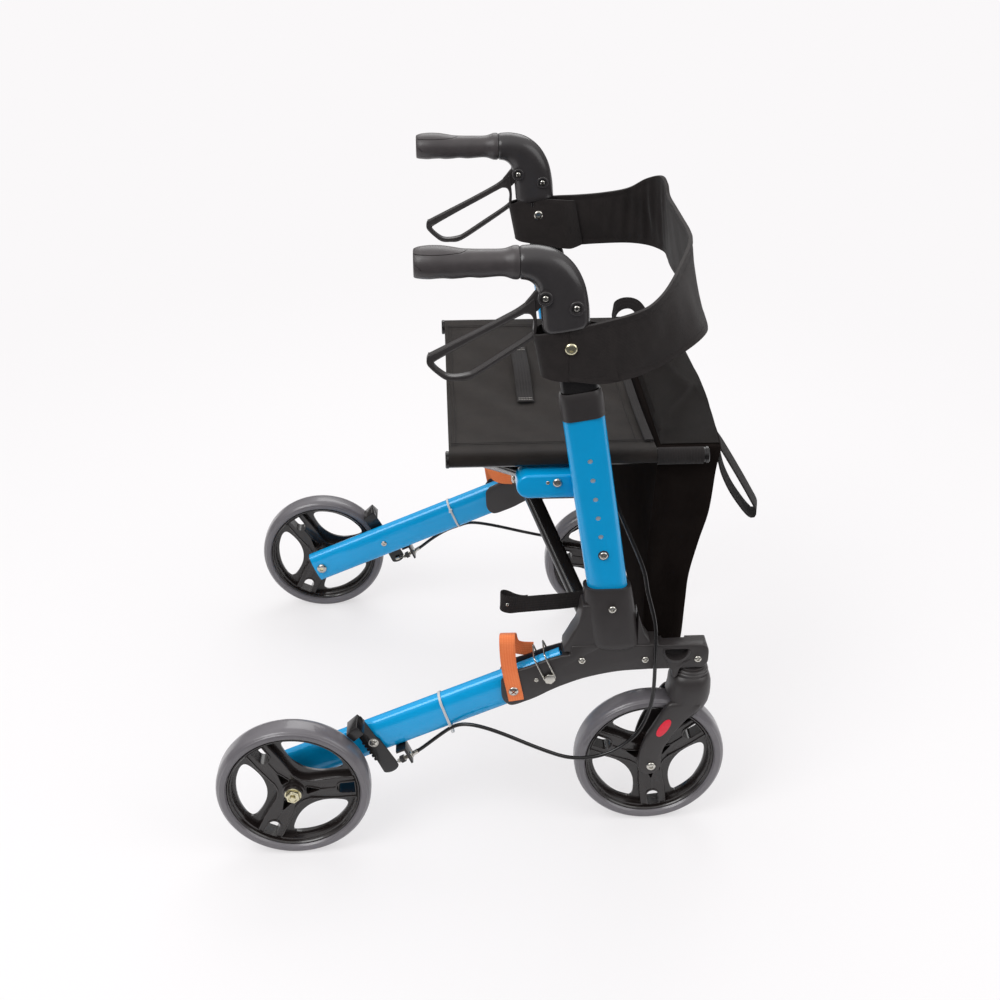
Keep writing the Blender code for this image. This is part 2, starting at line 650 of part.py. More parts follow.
def make_castings():
    """The moulded piece that joins leg, upright and caster."""
    outline = [
        (0.0700, 0.2350), (0.0715, 0.2090), (0.0790, 0.1985), (0.0870, 0.1970), (0.1160, 0.2080),
        (0.1510, 0.2260), (0.1800, 0.2370), (0.2190, 0.2455), (0.2590, HEAD_BOTTOM_Z),
        (0.3250, HEAD_BOTTOM_Z), (0.3330, 0.2530), (HEAD_FRONT_X, 0.2720), (0.3305, 0.2900),
        (0.3220, 0.3000), (0.2760, HEAD_TOP_Z), (0.2730, 0.2910), (0.2660, 0.2840), (0.2500, 0.2850),
        (0.1660, 0.2865), (0.1580, 0.2845), (0.1580, 0.2725), (0.1470, 0.2715), (0.1280, 0.2655),
        (0.1070, 0.2560), (0.0900, 0.2505), (0.0760, 0.2440),
    ]
    plate = prism(outline, CAST_IN, CAST_OUT)
    # column round the upright: height, fore and aft length, middle, thickness
    column = []
    for z, length, mid, less in ((0.277, 0.088, 0.2085, 0.003), (0.284, 0.093, 0.2088, 0),
                                 (0.300, 0.089, 0.2080, 0), (0.325, 0.077, 0.2072, 0),
                                 (0.350, 0.067, 0.2060, 0), (SOCKET_TOP_Z, 0.062, 0.2040, 0.002)):
        column.append([Vector((mid + p, SIDE_Y + q, z)) for p, q in oval(length, COLUMN_T - less)])
    fuse(plate, solid(loft(column)))
    # lugs inside, which carry the scissor frame's pivot
    for x in (LUG_REAR_X, LUG_FRONT_X - LUG_T):
        lug = [(CAST_IN + 0.003, CROSS_PIVOT_Z + 0.012), (CAST_IN + 0.003, CROSS_PIVOT_Z - LUG_R)]
        lug += arc((RAIL_Y, CROSS_PIVOT_Z), LUG_R, -90, -270, 6)
        rings = [[Vector((at, y, z)) for y, z in lug] for at in (x, x + LUG_T)]
        fuse(plate, solid(loft(rings)))
    # channel for the folding leg, open above, behind and below
    reach = hypot(LEG_FRONT, TUBE_D / 2) + 0.0008
    channel = arc(LEG_PIVOT, reach, -95, 82, 10) + [(0.120, 0.310), (0.050, 0.310), (0.050, 0.150), (0.120, 0.150)]
    inside = TUBE_W / 2 + SLIDE_GAP
    cuts = [prism(channel, SIDE_Y - inside, SIDE_Y + inside)]
    cuts.append(swept_oval(UP_FOOT, UP_U, Vector((0, 1, 0)), UP_W,
                           (TUBE_D + 2 * GAP, TUBE_W + 2 * GAP), -UPRIGHT_IN_SOCKET - GAP, 0.05))
    # pocket in the head, the caster stem's bore and the bolt holes
    pocket = [(0.2775, 0.2665), (0.2790, 0.2800), (0.3090, 0.2800), (0.3100, 0.2665), (0.3020, 0.2630), (0.2850, 0.2630)]
    cuts.append(prism(pocket, CAST_OUT - 0.009, CAST_OUT + 0.01))
    cuts.append(rod((STEM_X, SIDE_Y, HEAD_BOTTOM_Z - 0.01), (STEM_X, SIDE_Y, 0.2925), CASTER_STEM_R + SLIDE_GAP, 12))
    for y0, y1 in ((CAST_IN - 0.01, SIDE_Y), (SIDE_Y, CAST_OUT + 0.01)):
        cuts.append(rod((LEG_PIVOT[0], y0, LEG_PIVOT[1]), (LEG_PIVOT[0], y1, LEG_PIVOT[1]), AXLE_R + GAP))
    cuts.append(rod((LUG_REAR_X - 0.01, RAIL_Y, CROSS_PIVOT_Z), (LUG_FRONT_X + 0.01, RAIL_Y, CROSS_PIVOT_Z),
                    CROSS_PIVOT_R + GAP))
    cut(plate, *cuts)
    # screw heads: x, z, radius, and the face that they stand on
    for x, z, radius, face in ((0.1730, 0.2640, 0.0048, CAST_OUT), (0.2540, 0.2630, 0.0048, CAST_OUT),
                               (0.3215, 0.2620, 0.0048, CAST_OUT), (0.1080, 0.2330, 0.0028, CAST_OUT),
                               (0.2090, 0.3360, 0.0045, SIDE_Y + COLUMN_T / 2)):
        fuse(plate, turned([(radius, -0.0015), (radius, 0.0010), (radius * 0.6, 0.0022)], (x, face, z), (0, 1, 0), 10))
    pair("frame_casting", plate, "moulded_black", "frame")


def up_point(along, u=0.0, y=SIDE_Y):
    """A point up the tube from its foot, u forward across it."""
    p = UP_FOOT + UP_W * along + UP_U * u
    return Vector((p.x, y, p.z))


def make_uprights():
    across = Vector((0, 1, 0))
    tube = swept_oval(UP_FOOT, UP_U, across, UP_W, (TUBE_D, TUBE_W),
                      -UPRIGHT_IN_SOCKET, UPRIGHT_LENGTH, TUBE_WALL)
    for k in range(1, HOLE_COUNT):
        at = LOWEST_HOLE + k * HOLE_PITCH
        cut(tube, rod(up_point(at, 0, LEG_IN - 0.01), up_point(at, 0, LEG_OUT + 0.01), HOLE_R, 8))
    pair("upright_tube", tube, "blue_paint", "frame")
    top = UPRIGHT_LENGTH + GAP
    def ring(length, width, at):
        return [UP_FOOT + UP_U * p + across * q + UP_W * at for p, q in oval(length, width)]
    grown = 0.0010
    outer = [ring(TUBE_D + 2 * grown, TUBE_W + 2 * grown, top),
             ring(TUBE_D + 2 * grown, TUBE_W + 2 * grown, top + COLLAR_H - 0.004),
             ring(TUBE_D - 0.002, TUBE_W - 0.002, top + COLLAR_H)]
    inner = [ring(STEM_D + 2 * SLIDE_GAP, STEM_W + 2 * SLIDE_GAP, at)
             for at in (top, top + COLLAR_H - 0.004, top + COLLAR_H)]
    pair("upright_collar", solid(hollow(outer, inner)), "moulded_black", "frame")


def make_arms():
    """A bracket on the upright's inner face, on which the seat rail rests."""
    r = ARM_H / 2
    mid = ARM_TOP_Z - r
    outline = arc((ARM_REAR_X + r, mid), r, 90, 270, 8)
    outline += [(ARM_FRONT_X, mid - r), (ARM_FRONT_X, mid + r)]
    arm = rounded(prism(outline, RAIL_Y - 0.012, LEG_IN - GAP), 0.0025, 2)
    fuse(arm, rod((0.140, RAIL_Y - 0.0150, mid), (0.140, RAIL_Y - 0.010, mid), 0.0045, 10))
    pair("seat_rail_arm", arm, "blue_paint", "frame")


def make_frame_bolts():
    # long bolt through the lugs, on which the scissor frame turns
    pivot = rod((LUG_REAR_X - 0.0005, RAIL_Y, CROSS_PIVOT_Z), (LUG_FRONT_X + 0.0005, RAIL_Y, CROSS_PIVOT_Z), CROSS_PIVOT_R)
    fuse(pivot, rod((LUG_REAR_X - 0.004, RAIL_Y, CROSS_PIVOT_Z), (LUG_REAR_X - GAP, RAIL_Y, CROSS_PIVOT_Z), 0.0085),
         rod((LUG_FRONT_X + GAP, RAIL_Y, CROSS_PIVOT_Z), (LUG_FRONT_X + 0.004, RAIL_Y, CROSS_PIVOT_Z), 0.0085))
    pair("cross_pivot", pivot, "zinc", "frame")
    # hex bolt on which the leg and the latch turn
    x, z = LEG_PIVOT
    bolt = rod((x, CAST_IN - 0.003, z), (x, CAST_OUT + 0.003, z), AXLE_R)
    fuse(bolt, rod((x, CAST_OUT + GAP, z), (x, CAST_OUT + 0.0055, z), 0.0066, 6),
         rod((x, CAST_IN - 0.0045, z), (x, CAST_IN - GAP, z), 0.0066, 6))
    pair("leg_pivot_bolt", bolt, "zinc", "frame")


def make_latches():
    """A wire bail that stands across the leg and keeps it from folding up."""
    outer_y, inner_y = CAST_OUT + 0.0018, CAST_IN - 0.0018
    def at(side, up, y):
        p = LEG_PIVOT_V + LEG_V * up + LEG_U * side
        return Vector((p.x, y, p.z))
    path = []
    for k in range(5):
        a = pi * k / 4
        path.append(at(-BAIL_HALF * cos(a), -BAIL_HALF * sin(a), outer_y))
    bend = 0.004
    path += [at(BAIL_HALF, BAIL_H - bend, outer_y), at(BAIL_HALF, BAIL_H, outer_y - bend),
             at(BAIL_HALF, BAIL_H, inner_y + bend), at(BAIL_HALF, BAIL_H - bend, inner_y)]
    for k in range(5):
        a = pi * k / 4
        path.append(at(BAIL_HALF * cos(a), -BAIL_HALF * sin(a), inner_y))
    path += [at(-BAIL_HALF, BAIL_H - bend, inner_y), at(-BAIL_HALF, BAIL_H, inner_y + bend),
             at(-BAIL_HALF, BAIL_H, outer_y - bend), at(-BAIL_HALF, BAIL_H - bend, outer_y)]
    pair("latch_bail", wire(path, WIRE_R, 6, closed=True), "zinc", "latch")
    # pull strap, from its screw up over the channel to the latch
    strap_w, strap_t = 0.024, 0.0016
    out = CAST_OUT + strap_t / 2 + GAP
    route = [(0.0845, out, 0.2030), (0.0845, out, 0.2350), (0.0835, out, 0.2650), (0.0830, out - 0.0006, 0.2830),
             (0.0845, out - 0.006, 0.2915), (0.0870, SIDE_Y, 0.2900), (0.0890, CAST_IN + 0.003, 0.2800),
             (0.0900, CAST_IN - 0.001, 0.2660)]
    pair("release_strap", ribbon(smooth_route(route, 0.007), (1, 0, 0), strap_w, strap_t),
         "orange_webbing", "frame")


# Casters

def make_casters():
    ax, az = FRONT_AXLE
    # side outline of the fork: crown at the stem, leg swept back to the axle
    outline = [(0.2875, 0.2405), (0.2865, 0.2150), (0.2810, 0.1980), (0.2650, 0.1790), (0.2570, 0.1610),
               (0.2520, 0.1410), (0.2500, 0.1210)]
    outline += arc((ax - 0.002, az), 0.0150, 175, 365, 8)
    outline += [(0.2850, 0.1240), (0.2900, 0.1420), (0.2970, 0.1560), (0.3180, 0.1790), (0.3350, 0.1930),
                (0.3420, 0.2060), (0.3430, 0.2220), (0.3400, 0.2340), (0.3345, 0.2405)]
    half = FORK_W / 2
    fork = rounded(prism(outline, SIDE_Y - half, SIDE_Y + half), 0.006, 1, angle=60)
    neck = turned([(NECK_R + 0.0015, -0.0068), (NECK_R + 0.0015, -0.0042), (NECK_R - 0.002, -0.0040),
                   (NECK_R - 0.002, 0)], (STEM_X, SIDE_Y, NECK_TOP_Z), (0, 0, 1), 20)
    stem = rod((STEM_X, SIDE_Y, NECK_TOP_Z - 0.01), (STEM_X, SIDE_Y, 0.2905), CASTER_STEM_R)
    fuse(fork, neck, stem)
    slot = half - FORK_LEG
    # the crown's corners are turned down so that they pass the lugs
    lug_foot = CROSS_PIVOT_Z - LUG_R - 0.0010
    crown = STEM_X - LUG_FRONT_X + 0.0018
    cut(fork, turned([(crown, lug_foot), (crown + 0.03, lug_foot), (crown + 0.03, HEAD_BOTTOM_Z), (crown, HEAD_BOTTOM_Z)],
                     (STEM_X, SIDE_Y, 0), (0, 0, 1), 24, closed=True))
    cut(fork, turned([(WHEEL_R + 0.0055, -slot), (WHEEL_R + 0.0055, slot)], (ax, SIDE_Y, az), (0, 1, 0), 36),
        rod((ax, SIDE_Y - FORK_W, az), (ax, SIDE_Y + FORK_W, az), AXLE_R + GAP))
    pair("caster_fork", fork, "moulded_black", "caster")
    bolt = rod((ax, SIDE_Y - half - 0.001, az), (ax, SIDE_Y + half + 0.001, az), AXLE_R)
    fuse(bolt, rod((ax, SIDE_Y + half + GAP, az), (ax, SIDE_Y + half + 0.0032, az), 0.0062),
         rod((ax, SIDE_Y - half - 0.0032, az), (ax, SIDE_Y - half - GAP, az), 0.0062),
         rod((ax, SIDE_Y - slot + GAP, az), (ax, SIDE_Y - TYRE_W / 2 - GAP, az), 0.0065),
         rod((ax, SIDE_Y + TYRE_W / 2 + GAP, az), (ax, SIDE_Y + slot - GAP, az), 0.0065))
    pair("front_axle", bolt, "zinc", "caster")


# Handles

def handle_points(spots):
    """Points given from where the stem's line crosses the grip's axis."""
    return [(HANDLE_X + x, GRIP_Z + z) for x, z in spots]


def make_handles():
    across = Vector((0, 1, 0))
    # inner and outer points of the elbow in side view, with its half width
    sections = [((-0.0466, -0.0185), (-0.0466, 0.0185), 0.0185), ((-0.0366, -0.0205), (-0.0266, 0.0187), 0.0187),
                ((-0.0296, -0.0265), (-0.0056, 0.0130), 0.0190), ((-0.0266, -0.0345), (0.0129, -0.0015), 0.0190),
                ((-0.0246, -0.0445), (0.0254, -0.0225), 0.0190), ((-0.0226, -0.0585), (0.0314, -0.0465), 0.0188),
                ((-0.0206, -BODY_DOWN), (0.0336, 0.0085 - BODY_DOWN), 0.0182)]
    rings = []
    for (x0, z0), (x1, z1), half in sections:
        mid = Vector((HANDLE_X + (x0 + x1) / 2, SIDE_Y, GRIP_Z + (z0 + z1) / 2))
        reach = Vector(((x1 - x0) / 2, 0, (z1 - z0) / 2))
        rings.append([mid + reach * cos(a) + across * (half * sin(a))
                      for a in (2 * pi * k / 14 for k in range(14))])
    body_ob = solid(loft(rings))
    spigot = rod((GRIP_REAR_X + 0.011, SIDE_Y, GRIP_Z), (GRIP_FRONT_X + 0.0043, SIDE_Y, GRIP_Z), SPIGOT_R)
    fuse(body_ob, spigot)
    # slot for the lever, its pin, and the seat of the stem
    px, pz = LEVER_PIVOT
    slot_half = LEVER_T / 2 + SLIDE_GAP
    slot = handle_points([(-0.0526, -0.0965), (-0.0076, -0.0965), (-0.0066, -0.0445), (-0.0076, -0.0305), (-0.0136, -0.0235), (-0.0526, -0.0193)])
    cuts = [prism(slot, SIDE_Y - slot_half, SIDE_Y + slot_half),
            rod((px, SIDE_Y - BODY_W, pz), (px, SIDE_Y + BODY_W, pz), 0.003 + GAP)]
    seat_top = stem_top()
    cuts.append(swept_oval(UP_FOOT, UP_U, across, UP_W, (STEM_D + 2 * GAP, STEM_W + 2 * GAP),
                           seat_top - 0.012, seat_top + GAP))
    cut(body_ob, *cuts)
    # clamp screw for the stem
    clamp_x, clamp_z = HANDLE_X + 0.0164, GRIP_Z - 0.0485
    fuse(body_ob, rod((clamp_x, SIDE_Y - BODY_W / 2 - 0.0008, clamp_z), (clamp_x, SIDE_Y + BODY_W / 2 + 0.0012, clamp_z), 0.0048))
    pair("handle_body", body_ob, "handle_black", "handle")
    stem = swept_oval(UP_FOOT, UP_U, across, UP_W, (STEM_D, STEM_W), LOWEST_HOLE + 0.012, seat_top, STEM_WALL)
    pair("handle_stem", stem, "moulded_black", "handle")
    make_grips()
    make_levers()
    out, inn = SIDE_Y + BODY_W / 2, SIDE_Y - BODY_W / 2
    pin = rod((px, inn - 0.0005, pz), (px, out + 0.0005, pz), 0.003)
    fuse(pin, rod((px, out + GAP, pz), (px, out + 0.0022, pz), 0.0050),
         rod((px, inn - 0.0015, pz), (px, inn - GAP, pz), 0.0050))
    pair("lever_pin", pin, "zinc", "handle")
    # head of the height bolt, outside the upright, which moves with the handle
    head = rod(up_point(LOWEST_HOLE, 0, LEG_OUT + GAP), up_point(LOWEST_HOLE, 0, LEG_OUT + 0.0032), 0.0055)
    pair("height_bolt", head, "zinc", "handle")


def stem_top():
    """Where the stem ends in the handle body, along the upright."""
    return (BODY_FOOT_Z + 0.014 - UPRIGHT_FOOT[1]) / cos(LEAN)


def make_grips():
    """A rubber grip with a palm rest at its end and a flange at the handle."""
    rings = []
    span = GRIP_FRONT_X - GRIP_REAR_X
    # share of the length, half height, half width, rise of the middle
    for share, a, b, rise in ((0, 0.0150, 0.0165, 0.0015), (0.03, 0.0168, 0.0190, 0.0020), (0.22, 0.0172, 0.0205, 0.0022),
                              (0.36, 0.0158, 0.0180, 0.0005), (0.62, 0.0152, 0.0155, -0.0005),
                              (0.82, 0.0156, 0.0156, 0), (0.92, GRIP_FLANGE_R - 0.0006, GRIP_FLANGE_R - 0.0006, 0),
                              (0.94, GRIP_FLANGE_R, GRIP_FLANGE_R, 0), (1, GRIP_FLANGE_R - 0.0004, GRIP_FLANGE_R - 0.0004, 0)):
        x = GRIP_REAR_X + span * share
        rings.append([Vector((x, SIDE_Y + b * cos(t), GRIP_Z + rise + a * sin(t)))
                      for t in (2 * pi * (k + 0.5) / 14 for k in range(14))])
    grip = solid(loft(rings))
    cut(grip, rod((GRIP_REAR_X + 0.011 - GAP, SIDE_Y, GRIP_Z), (GRIP_FRONT_X + 0.01, SIDE_Y, GRIP_Z), SPIGOT_R + GAP))
    pair("grip", grip, "grip_rubber", "handle")


def make_levers():
    """A long finger loop that hangs under the grip and turns on a pin in the handle."""
    px, pz = LEVER_PIVOT
    # centre line of the loop and its width there
    line = [((-0.0356, -0.0565), 0.0080), ((-0.0486, -0.0550), 0.0100), ((-0.0716, -0.0670), 0.0100),
            ((-0.1076, -0.0880), 0.0100), ((-0.1366, -0.1050), 0.0100), ((-0.1466, -0.1125), 0.0090),
            ((-0.1446, -0.1225), 0.0080), ((-0.1336, -0.1320), 0.0075), ((-0.1186, -0.1345), 0.0070),
            ((-0.0976, -0.1295), 0.0065), ((-0.0776, -0.1175), 0.0060), ((-0.0576, -0.1010), 0.0060),
            ((-0.0376, -0.0835), 0.0060), ((-0.0296, -0.0715), 0.0060), ((-0.0301, -0.0615), 0.0065)]
    rings = []
    count = len(line)
    half = LEVER_T / 2
    for k, ((x, z), width) in enumerate(line):
        before, after = Vector(line[k - 1][0]), Vector(line[(k + 1) % count][0])
        t = (after - before).normalized()
        n = Vector((-t.y, t.x)) * (width / 2)
        x, z = HANDLE_X + x, GRIP_Z + z
        rings.append([Vector((x + n.x, SIDE_Y + half, z + n.y)), Vector((x + n.x, SIDE_Y - half, z + n.y)),
                      Vector((x - n.x, SIDE_Y - half, z - n.y)), Vector((x - n.x, SIDE_Y + half, z - n.y))])
    loop = rounded(solid(loft(rings, closed=True)), 0.0012, 1, angle=50)
    root = arc(LEVER_PIVOT, 0.0085, -60, 100, 6) + handle_points([(-0.0316, -0.0325), (-0.0416, -0.0425), (-0.0496, -0.0535),
                                                      (-0.0376, -0.0575), (-0.0316, -0.0685), (-0.0261, -0.0685)])
    fuse(loop, prism(root, SIDE_Y - half + 0.0007, SIDE_Y + half - 0.0007))
    cut(loop, rod((px, SIDE_Y - 0.02, pz), (px, SIDE_Y + 0.02, pz), 0.003 + SLIDE_GAP))
    pair("brake_lever", loop, "lever_grey", "lever")


def make_cables():
    """Brake cables from the handles down to the adjusters, held at the handle and tied to the leg."""
    inner = SIDE_Y - BODY_W / 2 + 0.0035
    # the left route; the other is its mirror image
    end = barrel_point(0.012) + BARREL_DIR * GAP
    # down beside the upright: share of the drop from the handle, step forward of the tube's line, across
    drop_foot = 0.465
    route = [(HANDLE_X + 0.0024, inner, BODY_FOOT_Z + 0.0028)]
    for share, step, y in ((0.9336, -0.0115, inner - 0.0006), (0.7676, -0.0120, inner - 0.0020),
                           (0.5602, -0.0078, inner - 0.0026), (0.3527, 0.0044, inner - 0.0010),
                           (0.1867, 0.0171, inner), (0.0, 0.0281, 0.2465)):
        z = drop_foot + (BODY_FOOT_Z - drop_foot) * share
        route.append((UPRIGHT_FOOT[0] - tan(LEAN) * (z - UPRIGHT_FOOT[1]) + step, y, z))
    route += [(0.2330, 0.2620, 0.4100), (0.2490, 0.2760, 0.3550), (0.2610, 0.2830, 0.3000), (0.2670, 0.2840, 0.2550),
              (0.2640, 0.2890, 0.2100), (0.2520, 0.2910, 0.1700), (0.2290, 0.2920, 0.1400), (0.1950, 0.2920, 0.1230),
              (0.1620, 0.2920, 0.1190), (0.1250, 0.2890, 0.1270), (0.0850, 0.2830, 0.1440), (0.0500, 0.2760, 0.1590),
              (0.0280, 0.2715, 0.1630), (0.0070, 0.2690, 0.1560)]
    route += [end + BARREL_DIR * step for step in (0.020, 0.008, 0)]
    points = smooth_route(route, 0.0148)
    for side, s in (("left", 1), ("right", -1)):
        curve = bpy.data.curves.new("brake_cable_" + side, "CURVE")
        curve.dimensions = "3D"
        spline = curve.splines.new("POLY")
        spline.points.add(len(points) - 1)
        on = "frame_" + side
        for k, p in enumerate(points):
            spot = Vector((p.x, s * p.y, p.z)) - origin_of(on)
            spline.points[k].co = (*spot, 1)
        curve.bevel_depth = CABLE_R
        curve.bevel_resolution = 2
        curve.use_fill_caps = True
        ob = bpy.data.objects.new("brake_cable_" + side, curve)
        bpy.context.scene.collection.objects.link(ob)
        ob.parent = BODIES[on]
        colour, roughness, metallic = LOOKS["cable_black"]
        curve.materials.append(material(ob.name, colour, roughness, metallic))


# Scissor frames, seat and bag

def make_cross_frames():
    """Each frame: a sleeve on the lower pivot, a cross tube, and a seat rail on the other side."""
    for name, foot_side, step in (("cross_frame_a", -1, 0.0), ("cross_frame_b", 1, CROSS_STEP_X)):
        foot = Vector((CROSS_LOW_X + step, foot_side * RAIL_Y, CROSS_PIVOT_Z))
        top = Vector((CROSS_TOP_X + step, -foot_side * RAIL_Y, RAIL_Z))
        w = (top - foot).normalized()
        u = (Vector((1, 0, 0)) - w * w.x).normalized()
        v = w.cross(u)
        length = (top - foot).length
        sleeve = rod((LUG_REAR_X + LUG_T + GAP, foot.y, foot.z), (LUG_FRONT_X - LUG_T - GAP, foot.y, foot.z), SLEEVE_R, 16)
        rail = turned([(RAIL_R + 0.0008, 0), (RAIL_R + 0.0008, RAIL_CAP), (RAIL_R, RAIL_CAP),
                       (RAIL_R, RAIL_FRONT_X - RAIL_REAR_X - RAIL_CAP),
                       (RAIL_R + 0.0008, RAIL_FRONT_X - RAIL_REAR_X - RAIL_CAP),
                       (RAIL_R + 0.0008, RAIL_FRONT_X - RAIL_REAR_X)],
                      (RAIL_REAR_X, top.y, top.z), (1, 0, 0), 16)
        tube = swept_oval(foot, u, v, w, (CROSS_D, CROSS_W), 0.002, length - 0.002)
        fuse(tube, sleeve, rail)
        cut(tube, rod((LUG_REAR_X, foot.y, foot.z), (LUG_FRONT_X, foot.y, foot.z), CROSS_PIVOT_R + SLIDE_GAP))
        centre = foot.lerp(top, 0.5)
        cut(tube, rod((centre.x - 0.03, 0, CROSS_CENTRE_Z), (centre.x + 0.03, 0, CROSS_CENTRE_Z), AXLE_R + SLIDE_GAP))
        node(name, tube, "black_steel", "cross_a" if foot_side < 0 else "cross_b")
    mid = (CROSS_LOW_X + CROSS_TOP_X + CROSS_STEP_X) / 2
    reach = CROSS_STEP_X / 2 + 0.0145
    bolt = rod((mid - reach, 0, CROSS_CENTRE_Z), (mid + reach, 0, CROSS_CENTRE_Z), AXLE_R)
    for s in (-1, 1):
        fuse(bolt, rod((mid + s * reach, 0, CROSS_CENTRE_Z), (mid + s * (reach + 0.003), 0, CROSS_CENTRE_Z), 0.0070))
    node("centre_pivot_bolt", bolt, "zinc", "cross_a")


def seat_height(y):
    """Underside of the seat cloth between the rails."""
    top = RAIL_Z + RAIL_R + GAP
    return top - SEAT_SAG * (1 - (y / RAIL_Y) ** 2)


def make_seat():
    """Cloth wrapped over both rails from outside, sagging a little between them."""
    inner = []
    wrap = [(RAIL_Y + (RAIL_R + GAP) * cos(radians(a)), RAIL_Z + (RAIL_R + GAP) * sin(radians(a)))
            for a in range(-55, 90, 15)]
    across = [RAIL_Y * (1 - 2 * k / 14) for k in range(15)]
    inner = wrap + [(y, seat_height(y)) for y in across] + [(-y, z) for y, z in reversed(wrap)]
    outer = []
    for k, (y, z) in enumerate(inner):
        y0, z0 = inner[max(k - 1, 0)]
        y1, z1 = inner[min(k + 1, len(inner) - 1)]
        size = hypot(y1 - y0, z1 - z0)
        outer.append((y + SEAT_T * (z1 - z0) / size, z - SEAT_T * (y1 - y0) / size))
    ring = inner + outer[::-1]
    seat = solid(loft([[Vector((x, y, z)) for y, z in ring] for x in (SEAT_REAR_X, SEAT_FRONT_X)]))
    # pull strap, sewn down at both ends
    strap_x, strap_w, strap_t = 0.113, 0.022, 0.0018
    ends = (-0.058, 0.130)
    path = []
    for k in range(13):
        share = k / 12
        y = ends[0] + (ends[1] - ends[0]) * share
        hump = 0.007 * sin(pi * share) ** 2
        path.append((strap_x, y, seat_height(y) + SEAT_T + strap_t / 2 - 0.0006 + hump))
    fuse(seat, ribbon(path, (1, 0, 0), strap_w, strap_t))
    node("seat_fabric", seat, "seat_cloth", "cross_a")


def band_route():
    """Half of the backrest band in plan with its top and bottom edges: x, y, top, bottom."""
    face = SIDE_Y + STEM_W / 2 + SLIDE_GAP + 0.0005 + BAND_T / 2
    route = [(-0.0190, face, -0.0885, -0.1435), (0.0104, face, -0.0885, -0.1435), (0.0264, face, -0.0885, -0.1435),
            (0.0474, SIDE_Y + 0.0112, -0.0805, -0.1415), (0.0724, SIDE_Y + 0.0040, -0.0625, -0.1375),
            (0.1024, SIDE_Y - 0.0080, -0.0505, -0.1295), (0.1324, SIDE_Y - 0.0260, -0.0435, -0.1235),
            (0.1574, SIDE_Y - 0.0530, -0.0375, -0.1205), (0.1754, SIDE_Y - 0.0900, -0.0365, -0.1205),
            (0.1854, SIDE_Y - 0.1350, -0.0405, -0.1225), (0.1904, SIDE_Y - 0.1850, -0.0455, -0.1245),
            (0.1924, 0.0, -0.0475, -0.1255)]
    return [(HANDLE_X + x, y, GRIP_Z + top, GRIP_Z + low) for x, y, top, low in route]


def make_backrest():
    """A webbing band that loops forward between sleeves on the two handle stems."""
    half = band_route()
    full = half + [(x, -y, top, low) for x, y, top, low in half[-2::-1]]
    rings = []
    for k, (x, y, top, low) in enumerate(full):
        x0, y0 = full[max(k - 1, 0)][:2]
        x1, y1 = full[min(k + 1, len(full) - 1)][:2]
        size = hypot(x1 - x0, y1 - y0)
        nx, ny = (y1 - y0) / size * BAND_T / 2, -(x1 - x0) / size * BAND_T / 2
        rings.append([Vector((x + nx, y + ny, low)), Vector((x + nx, y + ny, top)),
                      Vector((x - nx, y - ny, top)), Vector((x - nx, y - ny, low))])
    band = solid(loft(rings))
    low = (UPRIGHT_TOP_Z + COLLAR_H + 0.0065 - UPRIGHT_FOOT[1]) / cos(LEAN)
    high = (BODY_FOOT_Z - 0.003 - UPRIGHT_FOOT[1]) / cos(LEAN)
    for s in (1, -1):
        foot = Vector((UP_FOOT.x, s * SIDE_Y, UP_FOOT.z))
        inner = (STEM_D + 2 * SLIDE_GAP, STEM_W + 2 * SLIDE_GAP)
        fuse(band, swept_oval(foot, UP_U, Vector((0, 1, 0)), UP_W, (inner[0] + 0.004, inner[1] + 0.004),
                              low, high, 0.002))
    node("backrest_band", band, "black_webbing", "handle_right")


# Bag outline by height: front, rear and half width
BAG_LEVELS = [
    (BAG_FLOOR_Z, 0.312, BAG_REAR_X + 0.002, BAG_HALF_Y - 0.014), (0.240, 0.320, BAG_REAR_X - 0.004, BAG_HALF_Y - 0.008),
    (0.300, 0.322, BAG_REAR_X - 0.006, BAG_HALF_Y - 0.007), (0.345, 0.324, BAG_REAR_X - 0.006, BAG_HALF_Y - 0.006),
    (0.395, 0.334, BAG_REAR_X - 0.005, BAG_HALF_Y - 0.006), (0.440, 0.344, BAG_REAR_X - 0.003, BAG_HALF_Y - 0.004),
    (0.500, BAG_FRONT_X - 0.004, BAG_REAR_X, BAG_HALF_Y), (BAG_TOP_Z - 0.006, BAG_FRONT_X, BAG_REAR_X, BAG_HALF_Y),
    (BAG_TOP_Z, BAG_FRONT_X - 0.004, BAG_REAR_X + 0.004, BAG_HALF_Y - 0.003),
]


def bag_front(level, y):
    """Where the bag's bulging front lies at one of its levels."""
    z, front, _, half = level
    fold = 0.003 * cos(3.2 * pi * y / half) * (1 - z / BAG_TOP_Z)
    return front - BAG_BULGE + 0.002 + BAG_BULGE * (1 - (y / half) ** 2) + fold


def make_bag():
    """A shopping bag hung between the front ends of the seat rails, with a carrying loop in front."""
    rings = []
    for level in BAG_LEVELS:
        z, _, rear, half = level
        spread = [half * (1 - 2 * k / 8) for k in range(9)]
        ring = [Vector((bag_front(level, y), y, z)) for y in spread]
        ring += [Vector((rear, y, z)) for y in reversed(spread)]
        rings.append(ring)
    node("bag", solid(loft(rings)), "bag_cloth", "frame_right")
    y, thick = -0.150, 0.0024
    start = bag_front(BAG_LEVELS[6], y + 0.012) + thick / 2 + 0.0024
    tip = BAG_LOOP_TIP_X
    loop = [(start, 0.514), (start + 0.0015, 0.500), (tip - 0.040, 0.478), (tip - 0.016, 0.456), (tip - 0.004, 0.434),
            (tip - 0.0012, 0.422), (tip - 0.006, 0.411), (tip - 0.020, 0.413), (tip - 0.034, 0.430), (start + 0.010, 0.458),
            (start + 0.002, 0.472)]
    path = smooth_route([(x, y, z) for x, z in loop], 0.009)
    node("bag_handle", ribbon(path, (0, 1, 0), 0.024, thick), "black_webbing", "frame_right")


